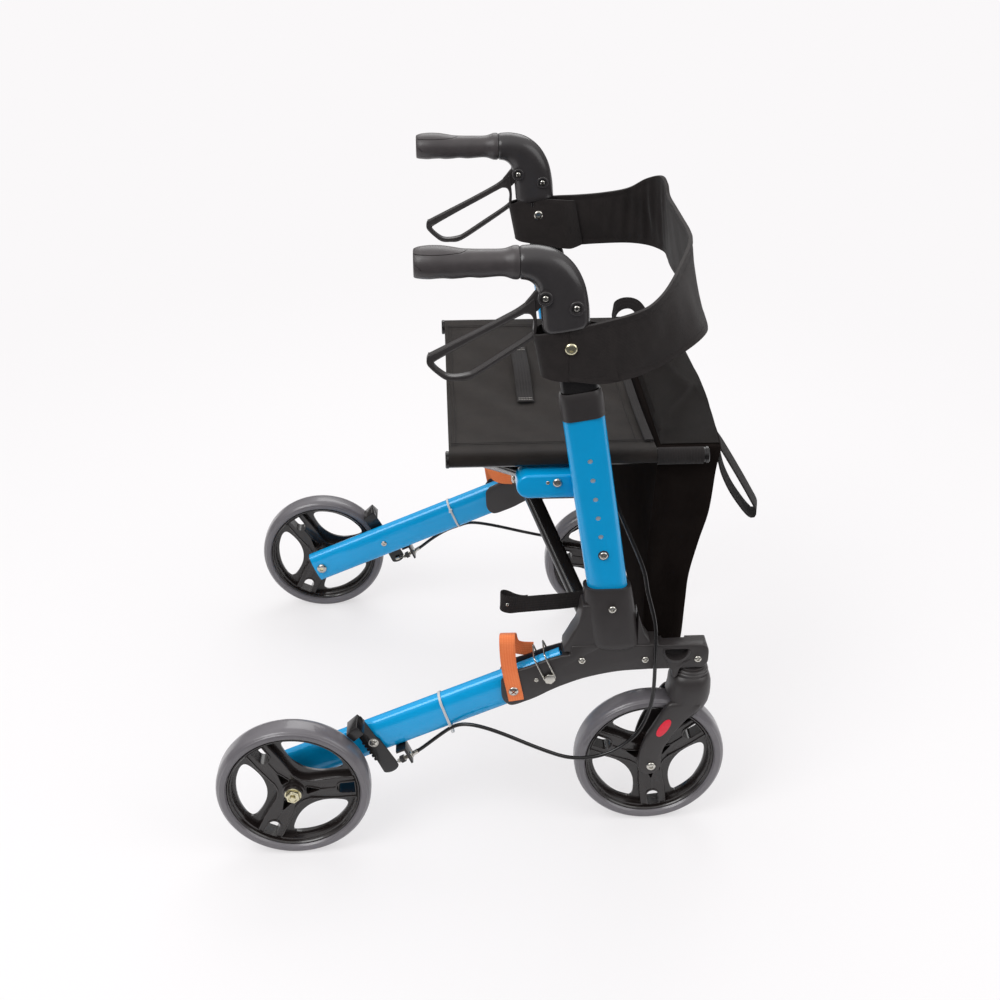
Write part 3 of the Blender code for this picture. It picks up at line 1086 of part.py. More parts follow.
def make_fold_strap():
    """A webbing strap on the right socket that ties the folded frame together; its end is a loop."""
    t = 0.0016
    y, z = -(SIDE_Y - COLUMN_T / 2 - GAP - t / 2), 0.332
    front, rear = 0.212, 0.072
    path = [(front, y, z + 0.001), (0.190, y, z + 0.001), (0.160, y, z), (0.120, y, z - 0.001), (0.095, y, z - 0.001),
            (0.083, y - 0.0030, z - 0.001), (rear + 0.003, y - 0.0032, z), (rear, y, z), (rear + 0.002, y + 0.0055, z),
            (0.082, y + 0.0060, z - 0.001), (0.094, y + 0.0024, z - 0.001), (0.104, y + 0.0021, z - 0.0005)]
    node("fold_strap", ribbon(smooth_route(path, 0.006), (0, 0, 1), 0.025, t), "black_webbing", "frame_right")


def build():
    clear_scene()
    make_bodies()
    make_wheels()
    make_legs()
    make_castings()
    make_uprights()
    make_arms()
    make_frame_bolts()
    make_latches()
    make_casters()
    make_handles()
    make_cables()
    make_cross_frames()
    make_seat()
    make_backrest()
    make_bag()
    make_fold_strap()


build()
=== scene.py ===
# Dresses the folding rollator's frame: materials, rounded shapes, fabric, light and camera.
# Lengths are in metres. Pieces are drawn with x from the bolt line of the part and moved by shiftX at the end.

from math import cos, exp, hypot, pi, radians, sin, tan

import bpy
from mathutils import Matrix, Vector


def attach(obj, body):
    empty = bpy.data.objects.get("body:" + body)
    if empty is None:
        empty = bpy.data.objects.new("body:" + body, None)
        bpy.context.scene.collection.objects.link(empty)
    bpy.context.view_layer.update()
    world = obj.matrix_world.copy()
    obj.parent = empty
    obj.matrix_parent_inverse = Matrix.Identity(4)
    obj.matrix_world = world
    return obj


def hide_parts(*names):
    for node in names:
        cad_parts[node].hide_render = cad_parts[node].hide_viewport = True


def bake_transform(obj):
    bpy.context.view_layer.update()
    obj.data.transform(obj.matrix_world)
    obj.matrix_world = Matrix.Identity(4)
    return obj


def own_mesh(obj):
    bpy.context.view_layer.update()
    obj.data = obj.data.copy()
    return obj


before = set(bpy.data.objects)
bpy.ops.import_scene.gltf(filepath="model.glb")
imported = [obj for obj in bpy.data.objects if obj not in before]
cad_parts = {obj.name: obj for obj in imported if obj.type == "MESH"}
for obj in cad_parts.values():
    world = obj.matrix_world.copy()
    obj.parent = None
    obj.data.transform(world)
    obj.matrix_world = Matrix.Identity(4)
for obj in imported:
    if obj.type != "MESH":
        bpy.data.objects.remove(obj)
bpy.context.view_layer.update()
print("frame loaded")

# Values that the pieces share, the same as in the part
shiftX = -0.055
sideY = 0.258
castIn, castOut = 0.2416, 0.2744
tubeLong, tubeWide, tubeWall = 0.05, 0.024, 0.002
crown = 2.5  # how square the tubes' ovals are
legIn, legOut = sideY - tubeWide / 2, sideY + tubeWide / 2
legPivot = Vector((0.132, 0, 0.24))
rearAxle = Vector((-0.2, 0, 0.1))
frontAxle = Vector((0.268, 0, 0.1))
rearWheelY = 0.304
wheelR = 0.1
legAlong = (legPivot - rearAxle).normalized()
legUp = Vector((-legAlong.z, 0, legAlong.x))
lean = radians(8.9)
upAlong = Vector((-sin(lean), 0, cos(lean)))
upAcross = Vector((cos(lean), 0, sin(lean)))
upX, upZ = 0.2025, 0.372
upFoot = Vector((upX, sideY, upZ))
upLength = (0.598 - upZ) / cos(lean)
railY, railZ, railR = 0.222, 0.527, 0.0098
stemX = 0.3165
pivotZ = 0.245  # height of the scissor frames' lower pivots
through = (0.22, 0.3)  # a bore across the whole side frame starts and ends here
across = Vector((0, 1, 0))


def deselectAll():
    if bpy.context.object and bpy.context.object.mode != "OBJECT":
        bpy.ops.object.mode_set(mode="OBJECT")
    bpy.ops.object.select_all(action="DESELECT")


def pick(ob):
    deselectAll()
    ob.select_set(True)
    bpy.context.view_layer.objects.active = ob
    return ob


def tidyMesh(ob, merge=0.000001, fill=True):
    pick(ob)
    bpy.ops.object.mode_set(mode="EDIT")
    bpy.ops.mesh.select_all(action="SELECT")
    bpy.ops.mesh.remove_doubles(threshold=merge)
    if fill:
        bpy.ops.mesh.select_all(action="DESELECT")
        bpy.ops.mesh.select_non_manifold(extend=False)
        bpy.ops.mesh.fill_holes(sides=0)
        bpy.ops.mesh.select_all(action="SELECT")
    bpy.ops.mesh.normals_make_consistent(inside=False)
    bpy.ops.object.mode_set(mode="OBJECT")
    return ob


# A filled outline in x and z, extruded along y
def outlineSolid(name, outline, yFrom, yTo):
    deselectAll()
    bpy.ops.mesh.primitive_circle_add(vertices=len(outline), radius=1, fill_type="NGON")
    ob = bpy.context.object
    ob.name = name
    for vert, (x, z) in zip(ob.data.vertices, outline):
        vert.co = (x, yFrom, z)
    bpy.ops.object.mode_set(mode="EDIT")
    bpy.ops.mesh.select_all(action="SELECT")
    bpy.ops.mesh.extrude_region_move(TRANSFORM_OT_translate={"value": (0, yTo - yFrom, 0)})
    bpy.ops.mesh.select_all(action="SELECT")
    bpy.ops.mesh.normals_make_consistent(inside=False)
    bpy.ops.object.mode_set(mode="OBJECT")
    return ob


# The same, equally deep on both sides of a side frame's middle plane
def centredSolid(name, outline, half):
    return outlineSolid(name, outline, sideY - half, sideY + half)


# A grid whose rows are placed on rings of points; loop joins each ring to itself
def skinRings(name, rings, loop=True, fill=True):
    deselectAll()
    columns = len(rings[0]) if loop else len(rings[0]) - 1
    bpy.ops.mesh.primitive_grid_add(x_subdivisions=columns, y_subdivisions=len(rings) - 1, size=2)
    ob = bpy.context.object
    ob.name = name
    spots = []
    for ring in rings:
        spots += list(ring) + ([ring[0]] if loop else [])
    ob.data.vertices.foreach_set("co", [c for spot in spots for c in spot])
    if loop:
        tidyMesh(ob, fill=fill)
    else:
        tidyMesh(ob, merge=0.0000001, fill=False)
    return ob


# A filled outline in y and z, extruded along x
def slab(name, outline, xFrom, xTo):
    return skinRings(name, [[Vector((x, y, z)) for y, z in outline] for x in (xFrom, xTo)])


# Texture coordinates in metres, so that a weave has its real scale
def scaleUv(ob, width, length):
    for spot in ob.data.uv_layers.active.data:
        spot.uv = (spot.uv[0] * width, spot.uv[1] * length)
    return ob


def arcPoints(centre, radius, start, end, steps):
    return [(centre[0] + radius * cos(radians(start + (end - start) * k / steps)),
             centre[1] + radius * sin(radians(start + (end - start) * k / steps))) for k in range(steps + 1)]


def stadium(long, wide, steps=16):
    r = wide / 2
    c = long / 2 - r
    return arcPoints((c, 0), r, -90, 90, steps) + arcPoints((-c, 0), r, 90, 270, steps)


def superOval(long, wide, power=2.5, count=48):
    out = []
    for k in range(count):
        c, s = cos(2 * pi * k / count), sin(2 * pi * k / count)
        out.append((long / 2 * abs(c) ** (2 / power) * (1 if c >= 0 else -1),
                    wide / 2 * abs(s) ** (2 / power) * (1 if s >= 0 else -1)))
    return out


# A smooth curve through the given points; closed joins its ends
def smoothCurve(points, steps=8, closed=False):
    pts = [Vector(p) for p in points]
    if closed:
        pts = [pts[-1]] + pts + pts[:2]
    else:
        pts = [2 * pts[0] - pts[1]] + pts + [2 * pts[-1] - pts[-2]]
    out = []
    for a, b, c, d in zip(pts, pts[1:], pts[2:], pts[3:]):
        for k in range(steps):
            t = k / steps
            out.append(0.5 * ((2 * b) + (c - a) * t + (2 * a - 5 * b + 4 * c - d) * t ** 2
                              + (3 * b - a - 3 * c + d) * t ** 3))
    if not closed:
        out.append(pts[-2])
    return out


def curvedOutline(points, steps=5, closed=False):
    return [(p.x, p.y) for p in smoothCurve(points, steps, closed)]


# x and z of points in space
def flat(points):
    return [(p.x, p.z) for p in points]


# Direction of a line of points at one of them
def heading(line, k):
    return line[min(k + 1, len(line) - 1)] - line[max(k - 1, 0)]


# The same curve with its points evenly spaced
def evenCurve(points, spacing, closed=False):
    fine = smoothCurve(points, 24, closed)
    if closed:
        fine.append(fine[0])
    length = sum((q - p).length for p, q in zip(fine, fine[1:]))
    steps = max(3, round(length / spacing))
    out, walked, target = [fine[0]], 0.0, length / steps
    for p, q in zip(fine, fine[1:]):
        leg = (q - p).length
        while leg > 0 and walked + leg >= target - 1e-9 and len(out) < steps:
            out.append(p.lerp(q, (target - walked) / leg))
            target += length / steps
        walked += leg
    if not closed:
        out.append(fine[-1])
    return out


# A section carried along a path; wide gives the direction of the section's first axis
def sweep(name, path, section, wide=None, closed=False, sizes=None):
    points = [Vector(p) for p in path]
    count = len(points)
    rings, side = [], None
    for k, p in enumerate(points):
        before = points[k - 1] if closed or k else points[0]
        after = points[(k + 1) % count] if closed or k < count - 1 else points[-1]
        t = (after - before).normalized()
        if wide is not None:
            side = Vector(wide[k] if isinstance(wide, list) else wide)
        elif side is None:
            side = t.orthogonal()
        side = (side - t * side.dot(t)).normalized()
        out = t.cross(side)
        scale = sizes[k] if sizes else (1, 1)
        rings.append([p + side * (a * scale[0]) + out * (b * scale[1]) for a, b in section])
    if closed:
        rings.append(rings[0])
    return skinRings(name, rings, fill=not closed)


def roundSection(radius, sides=12):
    return [(radius * cos(2 * pi * k / sides), radius * sin(2 * pi * k / sides)) for k in range(sides)]


# A profile of (radius, height) turned about an axis; ring closes the profile on itself
def turned(name, profile, centre, axis, sides=32, ring=False):
    axis = Vector(axis).normalized()
    side = Vector((1, 0, 0)) if abs(axis.x) < 0.9 else Vector((0, 0, 1))
    side = (side - axis * side.dot(axis)).normalized()
    other = axis.cross(side)
    rings = []
    for r, h in profile + ([profile[0]] if ring else []):
        rings.append([Vector(centre) + axis * h + side * (r * cos(2 * pi * k / sides))
                      + other * (r * sin(2 * pi * k / sides)) for k in range(sides)])
    return skinRings(name, rings, fill=not ring)


def rod(name, start, end, radius, sides=24):
    start, end = Vector(start), Vector(end)
    return turned(name, [(radius, 0), (radius, (end - start).length)], start, end - start, sides)


def boreAcross(x, z, radius):
    return rod("bore", (x, through[0], z), (x, through[1], z), radius)


def hollowTube(name, foot, long, wide, along, size, start, end, wall):
    rings = []
    for less, at in ((0, start), (0, end), (wall, end), (wall, start), (0, start)):
        rings.append([foot + long * p + wide * q + along * at
                      for p, q in superOval(size[0] - 2 * less, size[1] - 2 * less, crown, 64)])
    return skinRings(name, rings, fill=False)


def boolean(ob, other, kind):
    pick(ob)
    mod = ob.modifiers.new("shape", "BOOLEAN")
    mod.operation = kind
    mod.solver = "EXACT"
    mod.object = other
    bpy.ops.object.modifier_apply(modifier=mod.name)
    bpy.data.objects.remove(other, do_unlink=True)
    return ob


def cutAway(ob, *others):
    for other in others:
        boolean(ob, other, "DIFFERENCE")
    return ob


def weld(ob, *others):
    for other in others:
        boolean(ob, other, "UNION")
    return ob


def softenEdges(ob, width, segments=3, angle=35):
    pick(ob)
    mod = ob.modifiers.new("edges", "BEVEL")
    mod.width = width
    mod.segments = segments
    mod.limit_method = "ANGLE"
    mod.angle_limit = radians(angle)
    mod.use_clamp_overlap = True
    bpy.ops.object.modifier_apply(modifier=mod.name)
    return ob


def joinAll(obs):
    pick(obs[0])
    for ob in obs[1:]:
        ob.select_set(True)
    bpy.ops.object.join()
    return obs[0]


# A finished piece: its material, its place, the body that it rides on and the solids that it stands for
def finishPiece(ob, name, finish, bodyName, nodes=(), smooth=35):
    pick(ob)
    ob.name = name
    ob.data.name = name
    ob.data.materials.clear()
    ob.data.materials.append(finish)
    bpy.ops.object.shade_smooth_by_angle(angle=radians(smooth))
    ob.data.transform(Matrix.Translation((shiftX, 0, 0)))
    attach(ob, bodyName)
    if nodes:
        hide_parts(*nodes)
    return ob


def copyOf(ob):
    twin = ob.copy()
    twin.data = ob.data.copy()
    bpy.context.scene.collection.objects.link(twin)
    return twin


# Turned into its own mirror image on the other side
def mirror(ob):
    ob.data.transform(Matrix.Scale(-1, 4, Vector((0, 1, 0))))
    ob.data.flip_normals()
    return ob


# The piece drawn on the left, and its mirror image on the right
def bothSides(ob, name, finish, bodyName, nodes=(), smooth=35):
    twin = mirror(copyOf(ob))
    finishPiece(ob, name + "Left", finish, bodyName + "_left", [n + "_left" for n in nodes], smooth)
    finishPiece(twin, name + "Right", finish, bodyName + "_right", [n + "_right" for n in nodes], smooth)


def buttonScrew(name, centre, radius, axis, height=0.0024):
    ob = turned(name, [(radius, -0.0008), (radius, height * 0.3), (radius * 0.93, height * 0.62),
                       (radius * 0.72, height * 0.9), (radius * 0.5, height)], centre, axis, 28)
    drive = turned(name + "Drive", [(radius * 0.45, height * 0.3), (radius * 0.45, height * 2)], centre, axis, 6)
    return cutAway(ob, drive)


def crossScrew(name, centre, radius, axis, height=0.0022):
    axis = Vector(axis).normalized()
    ob = turned(name, [(radius, -0.0006), (radius, height * 0.25), (radius * 0.9, height * 0.6),
                       (radius * 0.6, height * 0.92), (radius * 0.2, height)], centre, axis, 28)
    lift = Vector(centre) + axis * height * 0.75
    side = Vector((0.7071, 0, 0.7071)) if abs(axis.y) > 0.5 else Vector((0.7071, 0.7071, 0))
    for turn in (side, axis.cross(side)):
        slot = sweep(name + "Slot", [lift - turn * radius * 0.6, lift + turn * radius * 0.6],
                     [(-radius * 0.11, -height), (radius * 0.11, -height), (radius * 0.11, height),
                      (-radius * 0.11, height)], wide=axis.cross(turn))
        cutAway(ob, slot)
    return ob


def hexNut(name, centre, radius, height, axis, turn=0.0):
    profile = [(radius * 0.9, 0), (radius, height * 0.14), (radius, height * 0.8), (radius * 0.88, height)]
    ob = turned(name, profile, (0, 0, 0), axis, 6)
    ob.data.transform(Matrix.Translation(Vector(centre)) @ Matrix.Rotation(turn, 4, Vector(axis)))
    return softenEdges(ob, radius * 0.05, 2, 20)


# Colours are written as sRGB hex and turned to linear here
def shade(code):
    parts = [int(code[k:k + 2], 16) / 255 for k in (1, 3, 5)]
    return tuple(c / 12.92 if c <= 0.04045 else ((c + 0.055) / 1.055) ** 2.4 for c in parts) + (1.0,)


# Adds a node; a value that is a socket is linked, any other is set
def addNode(tree, kind, settings=None, inputs=None):
    node = tree.nodes.new("ShaderNode" + kind)
    for key, value in (settings or {}).items():
        setattr(node, key, value)
    for key, value in (inputs or {}).items():
        if isinstance(value, bpy.types.NodeSocket):
            tree.links.new(value, node.inputs[key])
        else:
            node.inputs[key].default_value = value
    return node


def startMaterial(name, sockets):
    mat = bpy.data.materials.new(name)
    mat.use_nodes = True
    shader = mat.node_tree.nodes["Principled BSDF"]
    for key, value in sockets.items():
        shader.inputs[key].default_value = value
    return mat, mat.node_tree, shader


# Moulded, painted or cast surface: two shades in soft patches, a fine grain, and a little wear in the gloss
def grainMaterial(name, dark, light, roughness, grain, height, patch=18, metallic=0.0, coat=0.0, spread=0.06,
                  more=None):
    sockets = {"Metallic": metallic, "Coat Weight": coat, "Coat Roughness": 0.08}
    sockets.update(more or {})
    mat, tree, shader = startMaterial(name, sockets)
    where = addNode(tree, "TexCoord").outputs["Object"]
    patches = addNode(tree, "TexNoise", None, {"Vector": where, "Scale": 1000 / patch, "Detail": 3.0, "Roughness": 0.6})
    colour = addNode(tree, "Mix", {"data_type": "RGBA"},
                     {0: patches.outputs["Fac"], 6: shade(dark), 7: shade(light)})
    tree.links.new(colour.outputs[2], shader.inputs["Base Color"])
    fine = addNode(tree, "TexNoise", None, {"Vector": where, "Scale": 1000 / grain, "Detail": 2.0, "Roughness": 0.55})
    gloss = addNode(tree, "MapRange", None,
                    {"Value": patches.outputs["Fac"], "To Min": max(0.03, roughness - spread),
                     "To Max": roughness + spread})
    tree.links.new(gloss.outputs[0], shader.inputs["Roughness"])
    bump = addNode(tree, "Bump", None, {"Height": fine.outputs["Fac"], "Distance": height / 1000, "Strength": 0.6})
    tree.links.new(bump.outputs[0], shader.inputs["Normal"])
    return mat


# Woven cloth on the piece's own UV map, which is in metres; u runs across and v along it
def wovenMaterial(name, dark, light, across, along, height, ribs=0.0, sheen=0.25, roughness=0.85, shine=0.25):
    mat, tree, shader = startMaterial(name, {"Roughness": roughness, "Sheen Weight": sheen, "Sheen Roughness": 0.5,
                                             "Specular IOR Level": shine})
    uv = addNode(tree, "TexCoord").outputs["UV"]
    warp = addNode(tree, "TexWave", {"bands_direction": "X"},
                   {"Vector": uv, "Scale": 1000 / across / 6.283 * 2, "Distortion": 0.25, "Detail": 1.0})
    weft = addNode(tree, "TexWave", {"bands_direction": "Y"},
                   {"Vector": uv, "Scale": 1000 / along / 6.283 * 2, "Distortion": 0.25, "Detail": 1.0})
    threads = addNode(tree, "Math", {"operation": "MULTIPLY"}, {0: warp.outputs["Fac"], 1: weft.outputs["Fac"]})
    patches = addNode(tree, "TexNoise", None, {"Vector": uv, "Scale": 1000 / 30, "Detail": 4.0, "Roughness": 0.65})
    mixed = addNode(tree, "Math", {"operation": "MULTIPLY_ADD"},
                    {0: threads.outputs[0], 1: 0.6, 2: patches.outputs["Fac"]})
    level = addNode(tree, "MapRange", None, {"Value": mixed.outputs[0], "From Min": 0.25, "From Max": 1.15})
    colour = addNode(tree, "Mix", {"data_type": "RGBA"}, {0: level.outputs[0], 6: shade(dark), 7: shade(light)})
    tree.links.new(colour.outputs[2], shader.inputs["Base Color"])
    relief = threads.outputs[0]
    if ribs:
        rib = addNode(tree, "TexWave", {"bands_direction": "Y"}, {"Vector": uv, "Scale": 1000 / ribs / 6.283 * 2})
        relief = addNode(tree, "Math", {"operation": "ADD"}, {0: relief, 1: rib.outputs["Fac"]}).outputs[0]
    bump = addNode(tree, "Bump", None, {"Height": relief, "Distance": height / 1000, "Strength": 0.8})
    tree.links.new(bump.outputs[0], shader.inputs["Normal"])
    return mat


# Blue paint on aluminium tube: even and glossy, with a faint metallic depth under the lacquer
bluePaint = grainMaterial("glossBluePaint", "#009EDC", "#04AAEA", 0.22, 1.5, 0.01, patch=60, metallic=0.06, coat=0.6,
                          spread=0.03, more={"Coat Roughness": 0.03, "Specular IOR Level": 0.2})
# Glass-filled nylon, moulded: dark warm grey with a fine matt grain
castNylon = grainMaterial("mouldedNylon", "#2C2929", "#373333", 0.42, 0.6, 0.03, patch=25)
handleNylon = grainMaterial("satinHandleNylon", "#323031", "#3D3A3B", 0.25, 0.5, 0.02, patch=25)
# Thermoplastic rubber grip: matt, slightly dusty
gripRubber = grainMaterial("matteGripRubber", "#3C3839", "#4B4647", 0.4, 0.5, 0.05, patch=9, spread=0.1)
leverNylon = grainMaterial("leverNylon", "#302D2D", "#3D3939", 0.36, 0.6, 0.02, patch=20)
# Polyurethane tyre: mid grey, smooth and faintly glossy, with dust in the gloss
tyreRubber = grainMaterial("greyPolyurethaneTyre", "#625F63", "#6D6A6E", 0.3, 1.0, 0.02, patch=15, coat=0.35,
                           spread=0.05)
rimNylon = grainMaterial("blackRimNylon", "#191413", "#211B1A", 0.26, 0.7, 0.02, patch=20, coat=0.35)
blackSteel = grainMaterial("blackPowderCoatedSteel", "#151313", "#1E1C1C", 0.22, 0.8, 0.02, patch=20)
cablePlastic = grainMaterial("blackCableSheath", "#0F0E0E", "#181617", 0.2, 0.8, 0.01, patch=10, spread=0.04)
# Bright zinc plate on steel: nearly neutral, with a slight roll to the gloss
brightZinc = grainMaterial("brightZincPlate", "#B9B6AE", "#D2CFC8", 0.22, 0.7, 0.01, patch=4, metallic=1.0)
yellowZinc = grainMaterial("yellowZincPlate", "#C9C2A2", "#E2DCC0", 0.24, 0.7, 0.01, patch=4, metallic=1.0)
badgeRed = grainMaterial("redBadgePlastic", "#DA1832", "#EC2340", 0.3, 0.5, 0.01, patch=6)
plainZinc = grainMaterial("plainZincDisc", "#AEB2B5", "#C4C7C9", 0.45, 0.7, 0.01, patch=4, metallic=0.2)
tieNylon = grainMaterial("naturalNylonTie", "#D9DADB", "#ECECEC", 0.35, 0.5, 0.01, patch=6,
                         more={"Transmission Weight": 0.25})
# Polypropylene and polyester webbing and cloth
orangeWebbing = wovenMaterial("orangeWebbing", "#EE7640", "#FF965E", 1.2, 1.6, 0.2, sheen=0.15)
blackWebbing = wovenMaterial("blackWebbing", "#191616", "#2B2727", 1.2, 1.6, 0.25, ribs=3.2, sheen=0.08)
seatCloth = wovenMaterial("ribbedSeatCloth", "#140F0C", "#2D2622", 1.2, 1.2, 0.3, ribs=2.4, sheen=0.08)
paleThread = grainMaterial("paleThread", "#8E8A86", "#B4B0AB", 0.7, 0.4, 0.02, patch=3)
bandCloth = wovenMaterial("backrestCloth", "#1E1A1A", "#312C2B", 1.1, 1.1, 0.2, sheen=0.08)
bagCloth = wovenMaterial("bagPolyester", "#151110", "#231E1C", 1.0, 1.0, 0.12, sheen=0.01, roughness=0.7, shine=0.0)
bagLining = wovenMaterial("bagTopCloth", "#0E0B0A", "#1B1614", 1.0, 1.0, 0.12, sheen=0.02, roughness=0.5, shine=0.04)
print("materials made")

# Wheels: drawn at the origin with the axle along y
wheel = {"tyreWidth": 0.034, "tyreDepth": 0.014, "rimWidth": 0.028, "web": 0.0034, "plate": 0.021, "hub": 0.0145,
         "hubHalf": 0.017, "lip": 0.0016, "bore": 0.0046, "spokes": 3,
         "turns": {"rear_right": 3, "front_right": 37, "rear_left": 4, "front_left": 50}}


def makeTyre():
    inner, half = wheelR - wheel["tyreDepth"], wheel["tyreWidth"] / 2
    profile = [(inner, -0.0137), (inner, 0.0137), (inner + 0.001, 0.015), (inner + 0.0018, 0.0163),
               (inner + 0.003, half - 0.0004), (inner + 0.0042, half), (inner + 0.0082, half),
               (inner + 0.0088, half - 0.0003), (inner + 0.0091, half - 0.001), (inner + 0.01, half - 0.0017),
               (wheelR - 0.0026, half - 0.0028), (wheelR - 0.0016, half - 0.0042), (wheelR - 0.001, half - 0.0062),
               (wheelR - 0.0006, half - 0.007), (wheelR - 0.0002, half - 0.009), (wheelR, half - 0.0125)]
    profile += [(r, -h) for r, h in reversed(profile[2:])]
    return turned("tyre", profile, (0, 0, 0), across, 112, ring=True)


def spin(points, angle):
    return [(u * cos(angle) - v * sin(angle), u * sin(angle) + v * cos(angle)) for u, v in points]


# The outline moved outwards all round
def grown(outline, by):
    area = sum(a[0] * b[1] - b[0] * a[1] for a, b in zip(outline, outline[1:] + outline[:1]))
    out = []
    for k, p in enumerate(outline):
        a, b = outline[k - 1], outline[(k + 1) % len(outline)]
        d = hypot(b[0] - a[0], b[1] - a[1])
        turn = by / d * (1 if area > 0 else -1)
        out.append((p[0] + (b[1] - a[1]) * turn, p[1] - (b[0] - a[0]) * turn))
    return out


def makeRim():
    seat = wheelR - wheel["tyreDepth"] - 0.0003
    half, face, web = wheel["rimWidth"] / 2, wheel["plate"] / 2, wheel["web"] / 2
    # ring with a rolled lip on each side and a stepped well
    profile = [(seat, -half + 0.001), (seat - 0.001, -half), (seat - 0.0024, -half), (seat - 0.0034, -half + 0.0012),
               (seat - 0.0038, -0.0092), (seat - 0.0056, -0.0086), (seat - 0.0066, -web)]
    profile += [(r, -h) for r, h in reversed(profile)]
    ob = turned("rim", profile, (0, 0, 0), across, 96, ring=True)
    flange = turned("flange", [(seat - 0.005, -web), (seat - 0.005, web)], (0, 0, 0), across, 96)
    plate = turned("plate", [(seat - 0.0042, -face), (seat - 0.0042, face)], (0, 0, 0), across, 96)
    edge = [(0.07, 0.083), (0.0541, 0.0589), (0.0416, 0.0373), (0.03, 0.0195), (0.024, 0.01), (0.0215, 0.0)]
    curve = curvedOutline(edge + [(u, -v) for u, v in edge[-2::-1]], 6)
    opening = [(0.035, 0.0), (0.0385, 0.018), (0.048, 0.034), (0.0575, 0.0425), (0.0655, 0.037), (0.0725, 0.019),
               (0.0745, 0.0)]
    opening = curvedOutline(opening + [(u, -v) for u, v in opening[-2:0:-1]], 6, closed=True)
    window = arcPoints((0.064, 0), 0.008, 90, 270, 16) + [(0.0792, -0.0086), (0.0792, 0.0086)]
    pocket = [(0.0165, -0.005), (0.0185, -0.0055), (0.0335, -0.0009), (0.0335, 0.0009), (0.0185, 0.0055),
              (0.0165, 0.005)]
    middleRib = [(0.03, -0.0006), (0.062, -0.0006), (0.062, 0.0006), (0.03, 0.0006)]
    recess = curve + [(0.13, -0.05), (0.13, 0.05)]
    turns = [2 * pi * k / wheel["spokes"] for k in range(wheel["spokes"])]
    pastFace, pastHub = 0.02, 0.03
    for turn in turns:
        cutAway(flange, outlineSolid("opening", spin(opening, turn + pi / 3), -pastFace, pastFace))
        cutAway(plate, outlineSolid("recess", spin(recess, turn + pi / 3), -pastFace, pastFace))
    softenEdges(plate, 0.0016, 3, 50)
    # the face between the raised edges is dished
    for side in (1, -1):
        dish = turned("dish", [(seat - 0.0052, side * (face - 0.0018)), (seat - 0.0052, side * 0.02)], (0, 0, 0),
                      across, 96)
        for turn in turns:
            for shape in (spin(grown(recess, wheel["lip"] + 0.001), turn + pi / 3),
                          spin(grown(window, wheel["lip"]), turn), spin(middleRib, turn),
                          spin(grown(pocket, 0.0009), turn)):
                cutAway(dish, outlineSolid("keep", shape, -pastHub, pastHub))
        cutAway(dish, rod("keep", (0, -pastHub, 0), (0, pastHub, 0), wheel["hub"] + 0.0008, 48))
        cutAway(plate, softenEdges(dish, 0.0006, 2, 60))
    hub = turned("hub", [(0.0112, -wheel["hubHalf"]), (0.0122, -0.0163), (0.0128, -0.0128), (wheel["hub"], -0.012),
                         (wheel["hub"], 0.012), (0.0128, 0.0128), (0.0122, 0.0163), (0.0112, wheel["hubHalf"])],
                 (0, 0, 0), across, 48)
    weld(ob, flange, plate, hub)
    for turn in turns:
        cutAway(ob, softenEdges(outlineSolid("window", spin(window, turn), -pastFace, pastFace), 0.0004, 1, 60))
        for y0, y1 in ((-pastFace, -0.0012), (0.0012, pastFace)):
            cutAway(ob, outlineSolid("pocket", spin(pocket, turn), y0, y1))
    return cutAway(ob, rod("bore", (0, -pastHub, 0), (0, pastHub, 0), wheel["bore"]))


tyreMaster = makeTyre()
rimMaster = makeRim()
for place, turn in wheel["turns"].items():
    end, side = place.split("_")
    centre = Vector(rearAxle if end == "rear" else frontAxle)
    centre.y = (rearWheelY if end == "rear" else sideY) * (1 if side == "left" else -1)
    for master, kind, finish, slotName in ((tyreMaster, "tyre", tyreRubber, "tyre_grey"),
                                           (rimMaster, "rim", rimNylon, "rim_black")):
        ob = copyOf(master)
        ob.data.transform(Matrix.Translation(centre) @ Matrix.Rotation(radians(-turn), 4, "Y"))
        finishPiece(ob, kind + end.capitalize() + side.capitalize(), finish, f"{end}_wheel_{side}",
                    [f"{end}_{kind}_{side}"], 30)
for ob in (tyreMaster, rimMaster):
    bpy.data.objects.remove(ob, do_unlink=True)
print("wheels made")


def legPoint(along, up, y=sideY):
    p = legPivot + legAlong * along + legUp * up
    return Vector((p.x, y, p.z))


# Rear legs: oval tubes with a plug and pedal at the back
leg = {"front": 0.024, "rear": 0.012, "length": (legPivot - rearAxle).length, "brakeAlong": 0.248, "treads": 0.0075}


def makeLegTubes():
    rear = -(leg["length"] + leg["rear"])
    ob = hollowTube("legTube", legPoint(0, 0), legUp, across, legAlong, (tubeLong, tubeWide), rear, leg["front"],
                    tubeWall)
    swing = tubeLong / 2 + 0.0012
    outline = arcPoints((0, 0), swing, -90, 20, 22)
    outline += [(0.06, swing * sin(radians(20))), (0.06, -0.06), (0.0, -0.06)]
    spots = [legPivot + legAlong * p + legUp * q for p, q in outline]
    cutAway(ob, outlineSolid("corner", flat(spots), *through))
    bothSides(ob, "legTube", bluePaint, "leg", ["leg_tube"])


makeLegTubes()


